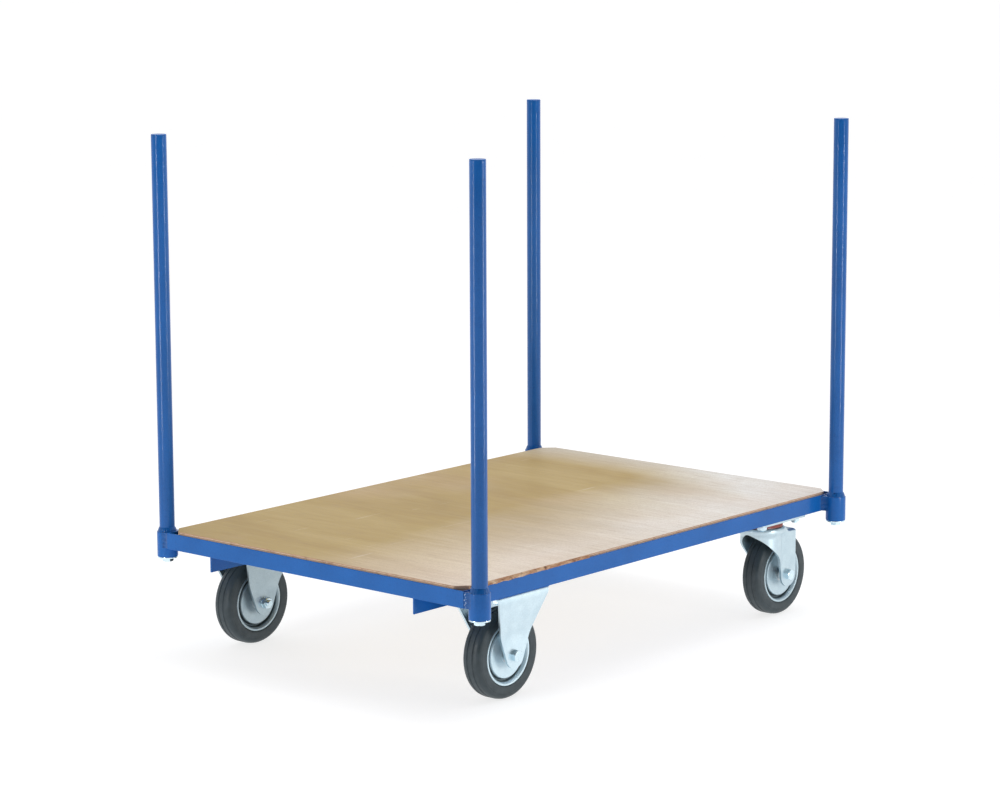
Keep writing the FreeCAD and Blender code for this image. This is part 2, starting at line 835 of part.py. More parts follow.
for side, sign in SIDES.items():
    x, y = castor_x + trail, castor_y * sign
    swivel_plate(side)
    fork(side)
    race_balls(side)
    kingpin(side)
    dust_seal(side)
    wheel(f"front_{side}", x, y)
    finish(axle_sleeve(x, y), f"axle_sleeve_front_{side}")
    finish(axle_bolt(x, y, sign), f"axle_bolt_front_{side}")
    finish(axle_nut(x, y, sign), f"axle_nut_front_{side}")


# ------------------------------------------------------------- castor fasteners

BOLT_HEAD = 6.4
BOLT_TAIL = 2
bolt_rows = [(castor_y * side + hole_y * across) for side in (1, -1) for across in (1, -1)]
castor_bolt_places = [(x, y) for x in bolt_places for y in bolt_rows]


def castor_bolt(x, y):
    """A bolt down through the flange and the castor's plate."""
    head = prism(BOLT_FLATS, BOLT_HEAD)
    length = wall + plate + NUT_HEIGHT + BOLT_TAIL
    return place(fuse(head, cylinder(BOLT_RADIUS, length, z=-length)), x=x, y=y, z=flange_top)


def castor_nut(x, y):
    nut = cut(prism(BOLT_FLATS, NUT_HEIGHT), cylinder(BOLT_RADIUS + THREAD_GAP, NUT_HEIGHT))
    return place(nut, x=x, y=y, z=plate_bottom - NUT_HEIGHT)


finish(group(*[castor_bolt(x, y) for x, y in castor_bolt_places]), "castor_bolts")
finish(group(*[castor_nut(x, y) for x, y in castor_bolt_places]), "castor_nuts")


# ------------------------------------------------------------ check and write

doc.recompute()
for item in doc.Objects:
    if {"Invalid", "Error"} & set(item.State):
        raise RuntimeError(f"{item.Name} ({item.Label}) failed: {item.State}")
os.makedirs("parts", exist_ok=True)
for item in parts:
    if item.Shape.isNull() or not item.Shape.isValid():
        raise RuntimeError(f"{item.Label} has no valid shape")
for item in parts:
    item.Shape.exportStep(f"parts/{item.Label}.step")
print(f"{len(parts)} sub-parts written")
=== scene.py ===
import json
import math
import random

import bmesh
import bpy
from mathutils import Matrix, Vector

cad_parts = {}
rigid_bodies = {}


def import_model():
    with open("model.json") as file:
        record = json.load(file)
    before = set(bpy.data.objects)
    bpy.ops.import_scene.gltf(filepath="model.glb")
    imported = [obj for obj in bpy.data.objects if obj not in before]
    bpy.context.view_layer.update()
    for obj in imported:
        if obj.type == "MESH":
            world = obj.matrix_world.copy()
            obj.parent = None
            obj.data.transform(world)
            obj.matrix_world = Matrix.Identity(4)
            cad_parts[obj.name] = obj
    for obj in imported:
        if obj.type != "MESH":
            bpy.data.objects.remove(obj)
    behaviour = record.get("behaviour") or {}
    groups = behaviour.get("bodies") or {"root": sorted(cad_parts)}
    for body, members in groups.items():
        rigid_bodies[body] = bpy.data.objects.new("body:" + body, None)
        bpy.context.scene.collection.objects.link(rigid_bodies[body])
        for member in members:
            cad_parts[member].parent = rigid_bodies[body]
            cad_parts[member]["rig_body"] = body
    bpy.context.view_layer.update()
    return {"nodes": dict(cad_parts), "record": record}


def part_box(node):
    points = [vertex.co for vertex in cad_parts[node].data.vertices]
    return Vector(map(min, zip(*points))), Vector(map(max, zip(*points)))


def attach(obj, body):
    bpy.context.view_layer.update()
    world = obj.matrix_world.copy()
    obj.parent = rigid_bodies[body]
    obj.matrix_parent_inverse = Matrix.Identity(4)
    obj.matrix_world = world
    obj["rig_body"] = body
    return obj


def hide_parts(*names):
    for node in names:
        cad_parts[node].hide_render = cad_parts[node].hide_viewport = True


# Platform trolley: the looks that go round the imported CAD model. Metres, in the CAD's own frame:
# +X is the swivel castor end, +Y is left, +Z is up, and the wheels stand on z = 0.

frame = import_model()

MM = 0.001
SIDES = {"left": 1, "right": -1}
ENDS = ("front", "rear")
NO_GAP = 1e-7
random.seed(7)


# ------------------------------------------------------------------ shape helpers


def low(node):
    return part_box(node)[0]


def high(node):
    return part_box(node)[1]


def middle(node):
    lowest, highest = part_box(node)
    return (lowest + highest) / 2


def filleted(points, closed=True, step=math.radians(14)):
    """An outline in which each (x, y, radius) corner is replaced by an arc."""
    made = []
    for index, point in enumerate(points):
        here = Vector(point[:2])
        radius = point[2] if len(point) > 2 else 0
        ends = not closed and index in (0, len(points) - 1)
        if radius <= 0 or ends:
            made.append(here)
            continue
        before = (Vector(points[index - 1][:2]) - here).normalized()
        after = (Vector(points[(index + 1) % len(points)][:2]) - here).normalized()
        half = math.acos(max(-1, min(1, before.dot(after)))) / 2
        reach = radius / math.tan(half)
        centre = here + (before + after).normalized() * (radius / math.sin(half))
        start, end = here + before * reach - centre, here + after * reach - centre
        turn = start.angle_signed(end)
        count = max(1, math.ceil(abs(turn) / step))
        for number in range(count + 1):
            made.append(centre + Matrix.Rotation(-turn * number / count, 2) @ start)
    return made


def lathe(profile, segments=96, closed=True):
    """A solid turned about Z, from its outline of (radius, height) points."""
    bm = bmesh.new()
    rings = []
    for radius, height in profile:
        if radius < NO_GAP:
            rings.append([bm.verts.new((0, 0, height))] * segments)
            continue
        ring = []
        for number in range(segments):
            angle = 2 * math.pi * number / segments
            ring.append(bm.verts.new((radius * math.cos(angle), radius * math.sin(angle), height)))
        rings.append(ring)
    last = len(rings) if closed else len(rings) - 1
    for index in range(last):
        here, there = rings[index], rings[(index + 1) % len(rings)]
        for number in range(segments):
            following = (number + 1) % segments
            corners = dict.fromkeys((here[number], here[following], there[following], there[number]))
            if len(corners) > 2:
                bm.faces.new(corners)
    return bm


def skin(bm, rings, capped=True):
    """Joins closed rings of vertices into a tube, with a face over each end."""
    for here, there in zip(rings, rings[1:]):
        for number in range(len(here)):
            following = (number + 1) % len(here)
            bm.faces.new((here[number], here[following], there[following], there[number]))
    if capped:
        bm.faces.new(rings[0])
        bm.faces.new(rings[-1])


def joined(*parts):
    """Several meshes as one."""
    total = bmesh.new()
    for part in parts:
        mesh = bpy.data.meshes.new("part")
        part.to_mesh(mesh)
        part.free()
        total.from_mesh(mesh)
        bpy.data.meshes.remove(mesh)
    return total


def moved(bm, place=(0, 0, 0), turn=None):
    """Turns a mesh, then moves it."""
    if turn is not None:
        bmesh.ops.transform(bm, matrix=turn, verts=bm.verts)
    bmesh.ops.translate(bm, vec=Vector(place), verts=bm.verts)
    return bm


def piece(name, bm, look, body, replaced=None, bevel=0, place=None, sharp=35, sheet=0):
    """Makes a mesh into a piece that rides on a CAD body and, if told so, stands for a CAD node.
    With a place, the piece's own origin is there, so that its material turns about it.
    With a sheet thickness, the mesh is an outer surface that is thickened inwards."""
    bmesh.ops.remove_doubles(bm, verts=bm.verts, dist=NO_GAP)
    bmesh.ops.recalc_face_normals(bm, faces=bm.faces)
    if place is not None:
        bmesh.ops.translate(bm, vec=-Vector(place), verts=bm.verts)
    mesh = bpy.data.meshes.new(name)
    bm.to_mesh(mesh)
    bm.free()
    mesh.materials.append(look)
    mesh.polygons.foreach_set("use_smooth", [True] * len(mesh.polygons))
    mesh.set_sharp_from_angle(angle=math.radians(sharp))
    obj = bpy.data.objects.new(name, mesh)
    bpy.context.scene.collection.objects.link(obj)
    if place is not None:
        obj.location = place
    if sheet:
        thickness = obj.modifiers.new("thickness", "SOLIDIFY")
        thickness.thickness = sheet
        thickness.offset = -1
        thickness.use_even_offset = True
    if bevel:
        rounding = obj.modifiers.new("rounding", "BEVEL")
        rounding.width = bevel
        rounding.segments = 2
        rounding.limit_method = "ANGLE"
        rounding.angle_limit = math.radians(sharp)
        rounding.harden_normals = True
    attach(obj, body)
    if replaced:
        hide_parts(replaced)
    return obj


def refined(node, look, bevel):
    """A copy of a CAD node with its edges rounded, which stands for it."""
    source = frame["nodes"][node]
    bm = bmesh.new()
    bm.from_mesh(source.data)
    bmesh.ops.remove_doubles(bm, verts=bm.verts, dist=1e-6)
    bmesh.ops.dissolve_limit(bm, angle_limit=math.radians(0.6), verts=bm.verts, edges=bm.edges)
    return piece(node + "_piece", bm, look, source["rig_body"], node, bevel=bevel)


def sheet_metal(grid, thickness):
    """A pressed sheet, from its outer surface: grid[i][j] with j along X. It thickens inwards."""
    bm = bmesh.new()
    rows, columns = len(grid), len(grid[0])
    outer, inner = [], []
    for i in range(rows):
        outer.append([bm.verts.new(point) for point in grid[i]])
        inside = []
        for j in range(columns):
            run = grid[min(i + 1, rows - 1)][j] - grid[max(i - 1, 0)][j]
            normal = Vector((0, -run.z, run.y)).normalized()
            inside.append(bm.verts.new(grid[i][j] + normal * thickness))
        inner.append(inside)
    for i in range(rows - 1):
        for j in range(columns - 1):
            for side in (outer, inner):
                bm.faces.new((side[i][j], side[i][j + 1], side[i + 1][j + 1], side[i + 1][j]))
        for j in (0, -1):
            bm.faces.new((outer[i][j], outer[i + 1][j], inner[i + 1][j], inner[i][j]))
    for i in (0, -1):
        for j in range(columns - 1):
            bm.faces.new((outer[i][j], outer[i][j + 1], inner[i][j + 1], inner[i][j]))
    bmesh.ops.remove_doubles(bm, verts=bm.verts, dist=1e-6)
    bmesh.ops.dissolve_degenerate(bm, edges=bm.edges, dist=1e-6)
    return bm


def divided(points, longest):
    """A line with points added so that no run of it is longer than that."""
    made = [Vector(points[0])]
    for start, end in zip(points, points[1:]):
        start, end = Vector(start), Vector(end)
        count = max(1, math.ceil((end - start).length / longest))
        made += [start.lerp(end, number / count) for number in range(1, count + 1)]
    return made


def hexagon(flats, height, chamfered=(False, True), bore=0):
    """A hexagonal head or nut that stands on z = 0, with its corners chamfered at 30 degrees."""
    bm = bmesh.new()
    sides = 48
    inner_circle = flats / 2 * 0.96
    slope = math.tan(math.radians(30))
    below, above = [slope if wanted else 0 for wanted in chamfered]
    columns = []
    for number in range(sides):
        angle = 2 * math.pi * number / sides
        off = (angle + math.pi / 6) % (math.pi / 3) - math.pi / 6
        outline = flats / 2 / math.cos(off)
        past = outline - inner_circle
        profile = [(inner_circle, 0), (outline, past * below),
                   (outline, height - past * above), (inner_circle, height)]
        if bore:
            profile = [(bore, 0), *profile, (bore, height)]
        columns.append([bm.verts.new((radius * math.cos(angle), radius * math.sin(angle), level))
                        for radius, level in profile])
    rings = list(zip(*columns))
    if bore:
        rings.append(rings[0])
    skin(bm, rings, capped=not bore)
    return bm


def threaded(radius, start, end, pitch, tip=0.0006):
    """A threaded rod along Z, as a stack of ridges, with a chamfered end."""
    profile = [(0, start), (radius, start)]
    height = start + pitch * 0.5
    while height < end - tip - pitch * 0.5:
        profile += [(radius - pitch * 0.45, height), (radius, height + pitch * 0.5)]
        height += pitch
    profile += [(radius, end - tip), (radius - tip, end), (0, end)]
    return lathe(profile, 32, closed=False)


def fillet_weld(radius, edge, bottom, top, ripple=0.0017):
    """A weld that fills the nook between a tube and the flat face it touches, along Z.
    The tube's centre is the origin and the face is at Y = radius. The weld covers the face as far
    as X = edge."""
    bm = bmesh.new()
    rings = []
    count = round((top - bottom) / (ripple / 4))
    side = Vector((radius * math.cos(0.2), radius * math.sin(0.2)))
    foot = Vector((edge, radius + 0.0003))
    for number in range(count + 1):
        z = bottom + (top - bottom) * number / count
        wave = 0.35 * math.sin(z / ripple * 2 * math.pi) + 0.5 * math.sin(z / ripple * 1.3 + edge * 900)
        bulge = Vector((0.0004 * wave - 0.0011, -0.0003 * wave))
        ring = []
        for step in range(9):
            share = step / 8
            ring.append(foot.lerp(side, share) + bulge * (4 * share * (1 - share)))
        for angle in (0.35, 0.7, 1.05, 1.4):
            ring.append((radius - 0.0015) * Vector((math.cos(angle), math.sin(angle))))
        ring.append(Vector((0.15 * radius, radius + 0.0003)))
        rings.append([bm.verts.new((*point, z)) for point in ring])
    skin(bm, rings)
    return bm


# -------------------------------------------------------------------- materials


class Look:
    """A node material built round one Principled shader."""

    def __init__(self, name, **sockets):
        self.material = bpy.data.materials.new(name)
        self.material.use_nodes = True
        self.tree = self.material.node_tree
        self.shader = self.tree.nodes["Principled BSDF"]
        for socket, value in sockets.items():
            self.shader.inputs[socket.replace("_", " ")].default_value = value
        self.place = self.add("ShaderNodeTexCoord").outputs["Object"]

    def add(self, kind, inputs=(), **settings):
        node = self.tree.nodes.new(kind)
        for setting, value in settings.items():
            setattr(node, setting, value)
        for socket, value in dict(inputs).items():
            self.give(node.inputs[socket], value)
        return node

    def give(self, socket, value):
        if isinstance(value, bpy.types.NodeSocket):
            self.tree.links.new(value, socket)
        else:
            socket.default_value = value

    def stretched(self, scale):
        return self.add("ShaderNodeMapping", {"Vector": self.place, "Scale": scale}).outputs["Vector"]

    def noise(self, scale, detail=3, roughness=0.55, stretch=None, distortion=0):
        where = self.stretched(stretch) if stretch else self.place
        inputs = {"Vector": where, "Scale": scale, "Detail": detail, "Roughness": roughness,
                  "Distortion": distortion}
        return self.add("ShaderNodeTexNoise", inputs).outputs["Fac"]

    def ramp(self, fac, *stops):
        node = self.add("ShaderNodeValToRGB", {"Fac": fac})
        elements = node.color_ramp.elements
        while len(elements) < len(stops):
            elements.new(0.5)
        for element, (position, colour) in zip(elements, stops):
            element.position = position
            element.color = (*colour, 1)
        return node.outputs["Color"]

    def mix(self, fac, first, second):
        """Mixes two colours. A node for colours has its factor in socket 0 and the colours in 6 and 7."""
        node = self.add("ShaderNodeMix", data_type="RGBA")
        for index, value in ((0, fac), (6, first), (7, second)):
            if hasattr(value, "__len__") and not isinstance(value, bpy.types.NodeSocket):
                value = (*value, 1)
            self.give(node.inputs[index], value)
        return node.outputs[2]

    def maths(self, operation, *values):
        node = self.add("ShaderNodeMath", operation=operation)
        for index, value in enumerate(values):
            self.give(node.inputs[index], value)
        return node.outputs[0]

    def spread(self, fac, lowest, highest, start=0.3, end=0.7):
        """Maps a value between start and end to one between lowest and highest."""
        inputs = {"Value": fac, "From Min": start, "From Max": end, "To Min": lowest, "To Max": highest}
        return self.add("ShaderNodeMapRange", inputs).outputs["Result"]

    def split(self, vector):
        return self.add("ShaderNodeSeparateXYZ", {"Vector": vector}).outputs

    def bump(self, height, distance, strength, under=None):
        inputs = {"Height": height, "Distance": distance, "Strength": strength}
        if under is not None:
            inputs["Normal"] = under
        return self.add("ShaderNodeBump", inputs).outputs["Normal"]

    def wear(self, **sockets):
        """Links values to the shader's sockets, and gives the finished material."""
        for socket, value in sockets.items():
            self.give(self.shader.inputs[socket.replace("_", " ")], value)
        return self.material


def blue_coat_look(name, gloss, lumps, depth=1.0):
    """Gloss powder coat: faint orange peel, small specks and slightly uneven colour."""
    look = Look(name, Coat_Weight=gloss, Coat_Roughness=0.12, Specular_IOR_Level=0.12)
    darker = [channel * depth for channel in (0.003, 0.098, 0.370)]
    lighter = [channel * depth for channel in (0.006, 0.124, 0.455)]
    colour = look.ramp(look.noise(9, 2), (0.3, darker), (0.7, lighter))
    speck = look.noise(420, 2)
    colour = look.mix(look.spread(speck, 0.0, 0.14), colour, (0.03, 0.22, 0.62))
    pits = look.noise(150, 3, 0.7)
    pitted = look.spread(pits, 0.0, min(1.0, lumps * 0.2), 0.55, 0.75)
    colour = look.mix(pitted, colour, (0.003, 0.035, 0.16))
    peel = look.bump(look.mix(0.5, look.noise(300, 2), pits), 0.00012 * lumps, 0.35)
    fine = look.bump(look.noise(1600, 1), 0.00004, 0.3, under=peel)
    return look.wear(Base_Color=colour, Roughness=look.spread(look.noise(60, 3), 0.3, 0.42), Normal=fine)


def plywood_look(lowest, highest):
    """Rotary-cut face veneer with its grain across the trolley, and plies on the edges.
    The veneer goes from golden on the +Y side to pale on the -Y side, and paler towards +X: the pale side is
    a painted sheen of reflected light and the golden side is painted shade."""
    look = Look("plywood", Coat_Weight=0.06, Coat_Roughness=0.3, Specular_IOR_Level=0.25)
    axes = look.split(look.place)
    # broad cathedral figure, fine fibre and pores, all stretched along Y
    figure = look.noise(2.2, 5, 0.55, stretch=(3.2, 0.8, 1), distortion=0.9)
    fibre = look.noise(95, 4, 0.7, stretch=(1, 0.07, 1))
    pores = look.noise(330, 2, 0.6, stretch=(1, 0.05, 1))
    tint = look.noise(2.6, 3, 0.55)
    wander = look.maths("MULTIPLY", look.maths("SUBTRACT", look.noise(3.2, 3, 0.6), 0.5), 0.55)
    # painted light: this mask lightens the veneer into a painted sheen towards -Y and +X, and leaves it
    # golden, as painted shade, towards +Y
    across = look.spread(axes[1], 0, 1, highest.y * 0.1, lowest.y * 0.86)
    along = look.spread(axes[0], 0, 0.6, highest.x * 0.72, highest.x)
    painted_sheen_share = look.maths("ADD", look.maths("ADD", across, wander), along)
    golden, pink, grey = [look.ramp(figure, *zip((0.3, 0.5, 0.7), shades)) for shades in (
        ((0.385, 0.262, 0.08), (0.45, 0.315, 0.10), (0.51, 0.375, 0.14)),
        ((0.73, 0.60, 0.475), (0.79, 0.665, 0.54), (0.85, 0.735, 0.61)),
        ((0.76, 0.76, 0.73), (0.84, 0.84, 0.83), (0.90, 0.91, 0.90)))]
    pale = look.mix(look.spread(look.maths("ADD", axes[0], wander), 0, 1, -0.45, 0.42), pink, grey)
    face = look.mix(look.spread(painted_sheen_share, 0, 1, 0.02, 1.0), golden, pale)
    face = look.mix(look.spread(tint, 0.0, 0.3, 0.5, 0.75), face, (0.72, 0.50, 0.36))
    face = look.mix(look.spread(fibre, 0.0, 0.22), face, (0.42, 0.29, 0.17))
    face = look.mix(look.spread(pores, 0.0, 0.32, 0.56, 0.72), face, (0.30, 0.19, 0.11))
    speckle = look.noise(420, 3, 0.7)
    face = look.mix(look.spread(speckle, 0.0, 0.26, 0.42, 0.62), face, (0.36, 0.26, 0.17))
    scratches = look.noise(60, 2, 0.5, stretch=(0.12, 2.2, 1), distortion=0.4)
    face = look.mix(look.spread(scratches, 0.0, 0.35, 0.70, 0.76), face, (0.85, 0.80, 0.72))
    # the edge shows four and a half pairs of a dark and a pale ply
    height = look.maths("SUBTRACT", axes[2], lowest.z)
    layers = look.maths("FRACT", look.maths("DIVIDE", height, (highest.z - lowest.z) / 4.5))
    torn = look.noise(48, 3, 0.6)
    plies = look.ramp(layers, (0.0, (0.48, 0.26, 0.15)), (0.45, (0.52, 0.31, 0.19)),
                      (0.52, (0.72, 0.55, 0.39)), (0.95, (0.74, 0.57, 0.41)), (1.0, (0.42, 0.22, 0.13)))
    plies = look.mix(look.spread(torn, 0.0, 0.5, 0.52, 0.72), plies, (0.22, 0.10, 0.06))
    plies = look.mix(look.spread(look.noise(45, 3), 0, 0.6, 0.5, 0.65), plies, (0.62, 0.38, 0.26))
    upright = look.split(look.add("ShaderNodeNewGeometry").outputs["True Normal"])[2]
    on_a_face = look.spread(look.maths("ABSOLUTE", upright), 0, 1, 0.6, 0.95)
    colour = look.mix(on_a_face, plies, face)
    grain = look.bump(look.mix(0.5, fibre, pores), 0.00018, 0.5)
    return look.wear(Base_Color=colour, Roughness=look.spread(fibre, 0.5, 0.66), Normal=grain)


def splinter_look():
    """Torn veneer along the deck's edge: brown strands with pale and dark streaks."""
    look = Look("plywood_torn", Roughness=0.75, Specular_IOR_Level=0.25)
    strands = look.noise(110, 4, 0.75, stretch=(0.35, 1, 1), distortion=0.6)
    dark = look.noise(75, 3, 0.6)
    colour = look.ramp(strands, (0.3, (0.20, 0.085, 0.045)), (0.48, (0.42, 0.23, 0.13)),
                       (0.62, (0.60, 0.42, 0.27)), (0.72, (0.78, 0.68, 0.54)))
    colour = look.mix(look.spread(dark, 0.0, 0.9, 0.56, 0.68), colour, (0.06, 0.028, 0.018))
    return look.wear(Base_Color=colour, Normal=look.bump(strands, 0.0006, 0.7))


def zinc_look(name, lightness=1.0, roughness=(0.28, 0.42), blotch=1.0, channel=None, metal=1.0):
    """Bright zinc plate with a faint blue cast, soft blotches and fine rolling marks.
    A channel of (radius, depth) about the wheel's axle is darkened there as painted shade."""
    look = Look(name, Metallic=metal)
    clouds = look.noise(38, 4, 0.6)
    grains = look.noise(420, 3, 0.7)
    light = [c * lightness for c in (0.72, 0.87, 0.94)]
    dim = [c * lightness for c in (0.60, 0.75, 0.83)]
    colour = look.ramp(clouds, (0.3, dim), (0.7, light))
    colour = look.mix(look.spread(grains, 0, 0.34 * blotch), colour, [c * 0.7 for c in dim])
    if channel is not None:
        radius, depth = channel
        axes = look.split(look.place)
        spot = look.add("ShaderNodeCombineXYZ", {"X": axes[0], "Y": axes[2]}).outputs["Vector"]
        reach = look.add("ShaderNodeVectorMath", {0: spot}, operation="LENGTH").outputs["Value"]
        outside = look.spread(reach, 0, 1, radius - 0.6 * MM, radius + 0.6 * MM)
        inside = look.spread(look.maths("ABSOLUTE", axes[1]), 1, 0, depth - 2.5 * MM, depth)
        hollow = look.maths("MULTIPLY", outside, inside)
        # painted shade: the channel is darkened, a little unevenly, where the lip shades it
        channel_shade = look.maths("MULTIPLY", hollow, look.spread(clouds, 0.7, 0.96))
        colour = look.mix(channel_shade, colour, (0.045, 0.065, 0.075))
    marks = look.bump(look.mix(0.5, clouds, grains), 0.00022, 0.5)
    return look.wear(Base_Color=colour, Roughness=look.spread(look.noise(120, 4), *roughness), Normal=marks)


def tyre_look():
    """Matt grey-black rubber with a little dust."""
    look = Look("tyre_rubber", Sheen_Weight=0.05)
    dust = look.noise(55, 4, 0.65)
    grit = look.noise(900, 2)
    colour = look.ramp(dust, (0.3, (0.024, 0.039, 0.047)), (0.7, (0.038, 0.057, 0.067)))
    pits = look.bump(grit, 0.0001, 0.4)
    return look.wear(Base_Color=colour, Roughness=look.spread(look.noise(90, 3), 0.42, 0.6), Normal=pits)


def rubber_look():
    """The dull red rubber of the swivel seals."""
    look = Look("seal_rubber", Roughness=0.5)
    dust = look.noise(200, 3)
    colour = look.ramp(dust, (0.3, (0.21, 0.045, 0.035)), (0.7, (0.33, 0.08, 0.06)))
    return look.wear(Base_Color=colour, Normal=look.bump(look.noise(1200, 2), 0.00006, 0.4))


def steel_look(name, colour, roughness):
    """Bare steel with darker stains."""
    look = Look(name, Metallic=1.0)
    stain = look.noise(150, 4)
    tint = look.ramp(stain, (0.3, [c * 0.8 for c in colour]), (0.7, colour))
    turning = look.bump(look.noise(900, 2), 0.00005, 0.3)
    return look.wear(Base_Color=tint, Roughness=look.spread(stain, *roughness), Normal=turning)


deck_low, deck_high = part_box("deck_panel")
BLUE = blue_coat_look("blue_coat", 0.32, 1)
# painted shade: the posts wear a darker copy of the coat, which keeps their middles dark
POST = blue_coat_look("blue_post", 0.45, 1.5, 0.9)
# painted shade: the welds, in the nooks round the sockets and at the posts' collars, wear a darker copy of
# the coat
WELD = blue_coat_look("blue_weld", 0.5, 8, 0.74)
PLYWOOD = plywood_look(deck_low, deck_high)
SPLINTERS = splinter_look()
TYRE = tyre_look()
SEAL = rubber_look()
ZINC = zinc_look("zinc_plate", 0.88)
RIM_CHANNEL = (43 * MM, (high("tyre_rear_left").y - low("tyre_rear_left").y) / 2 - 6 * MM)
RIM = zinc_look("zinc_rim", 0.88, (0.38, 0.5), 0.6, RIM_CHANNEL, 0.75)
# the rear castors carry lit and shaded copies of the zinc: the left one is darkened as painted shade and the
# right one lightened as painted light
REAR_PLATES = {
    "left": zinc_look("zinc_plate_painted_shade", 0.70, (0.36, 0.5), 1.3),
    "right": zinc_look("zinc_plate_painted_light", 1.0),
}
REAR_RIMS = {
    "left": zinc_look("zinc_rim_painted_shade", 0.72, (0.4, 0.52), 1.2, RIM_CHANNEL, 0.75),
    "right": zinc_look("zinc_rim_painted_light", 1.08, (0.38, 0.5), 0.6, RIM_CHANNEL, 0.5),
}
FASTENER = zinc_look("zinc_fastener", 1.06, (0.16, 0.28), 0.5)
BALL = steel_look("ball_steel", (0.62, 0.63, 0.65), (0.08, 0.2))
HUB = steel_look("hub_steel", (0.62, 0.68, 0.71), (0.35, 0.5))
LOOKS = {
    "blue_coat": BLUE, "plywood": PLYWOOD, "tyre_rubber": TYRE, "seal_rubber": SEAL,
    "zinc_plate": ZINC, "zinc_rim": RIM, "zinc_fastener": FASTENER, "ball_steel": BALL, "hub_steel": HUB,
}
for part in frame["record"]["subparts"]:
    node = frame["nodes"][part["node"]]
    node.data.materials.clear()
    node.data.materials.append(LOOKS[part["material_slot"]])


# ------------------------------------------------------------------ frame and deck

for rail in ("long_rail_left", "long_rail_right", "end_rail_front", "end_rail_rear"):
    refined(rail, BLUE, 0.9 * MM)
for side in SIDES:
    refined(f"castor_bearer_{side}", BLUE, 0.6 * MM)
for number in range(1, 5):
    refined(f"cross_bearer_{number}", BLUE, 0.4 * MM)
refined("deck_panel", PLYWOOD, 0.7 * MM)


def torn_edge_mesh(start, end, edge, top, rail_face, rail_top, deepest):
    """Splintered veneer over the rail's top edge. It hangs deepest near the start and thins out."""
    chance = random.Random(23)
    bm = bmesh.new()
    rings = []
    count = round((end - start) / (1.6 * MM))
    for number in range(count + 1):
        share = number / count
        x = start + (end - start) * share
        wave = 0.6 + 0.25 * math.sin(x * 190) + 0.15 * math.sin(x * 61 + 1)
        size = (1 - share) ** 1.3 * min(1.0, (1 - share) * 8, share * 60 + 0.1)
        ragged = size * chance.uniform(0.55, 1.0) * wave
        proud = (0.25 + 0.9 * size * chance.uniform(0.4, 1.0)) * MM
        hang = max(0.25 * MM, deepest * ragged)
        lift = 0.35 * MM * chance.uniform(0.3, 1.0)
        rings.append([bm.verts.new((x, y, z)) for y, z in (
            (edge + 0.6 * MM, top - 0.2 * MM), (edge - 0.4 * MM, top + lift * 0.4),
            ((edge + rail_face) / 2 - proud * 0.3, top - (top - rail_top) * 0.25 + lift),
            (rail_face - proud, rail_top + 0.9 * MM), (rail_face - proud * 0.8, rail_top - hang * 0.6),
            (rail_face - 0.12 * MM, rail_top - hang), (rail_face - 0.08 * MM, rail_top + 0.12 * MM),
            (edge + 0.6 * MM, rail_top + 0.12 * MM))])
    skin(bm, rings)
    return bm


rail_low, rail_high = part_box("long_rail_right")
torn = torn_edge_mesh(deck_low.x + 14 * MM, deck_low.x + 330 * MM, deck_low.y, deck_high.z,
                      rail_low.y, rail_high.z, 4.5 * MM)
piece("deck_edge_torn", torn, SPLINTERS, "chassis", sharp=30)


# ------------------------------------------------------------------- corner posts

CORNERS = [(end, side) for end in ENDS for side in SIDES]
washer_low, washer_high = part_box("post_washers")
bolt_low, bolt_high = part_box("post_bolts")
cap_top = high("post_caps").z
collar_low, collar_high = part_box("post_collars")
frame_bottom = rail_low.z
POST_BOLT_FLATS = 18 * MM
SHANK_RADIUS = 6 * MM


def ring_of(outer, inner, bottom, top, rounding, segments=72):
    """A tube along Z with rounded edges."""
    bore_rounding = 0.3 * MM
    return lathe(filleted([(outer, bottom, rounding), (outer, top, rounding),
                           (inner, top, bore_rounding), (inner, bottom, bore_rounding)]), segments)


def fastener(name, mesh, node, body="chassis", sharp=25):
    return piece(name, mesh, FASTENER, body, node, sharp=sharp)


def weld_cone(bottom, top, outer, inner, bore):
    """The coned weld between post and socket: a hollow curve with faint runs in it."""
    bm = lathe(filleted([(bore, bottom), (outer, bottom), (outer, bottom + 0.8 * MM, 0.5 * MM),
                         (inner + 1.1 * MM, top - 2.2 * MM, 9 * MM), (inner, top), (bore, top)]), 144)
    for vertex in bm.verts:
        x, y, z = vertex.co
        radius = math.hypot(x, y)
        if radius < bore + 0.0002:
            continue
        angle = math.atan2(y, x)
        share = (z - bottom) / (top - bottom)
        lump = math.sin(angle * 31) + 0.7 * math.sin(angle * 19 + 2)
        swell = 1 + 0.02 * lump * math.sin(math.pi * share) + 0.012 * math.sin(angle * 5 + 1)
        swell = min(swell, outer / radius) if share < 0.2 else swell
        vertex.co.x, vertex.co.y = x * swell, y * swell
    return bm


def any_turn():
    """A random turn about Z, because no two bolts end up at the same angle."""
    return Matrix.Rotation(random.uniform(0, 1), 4, "Z")


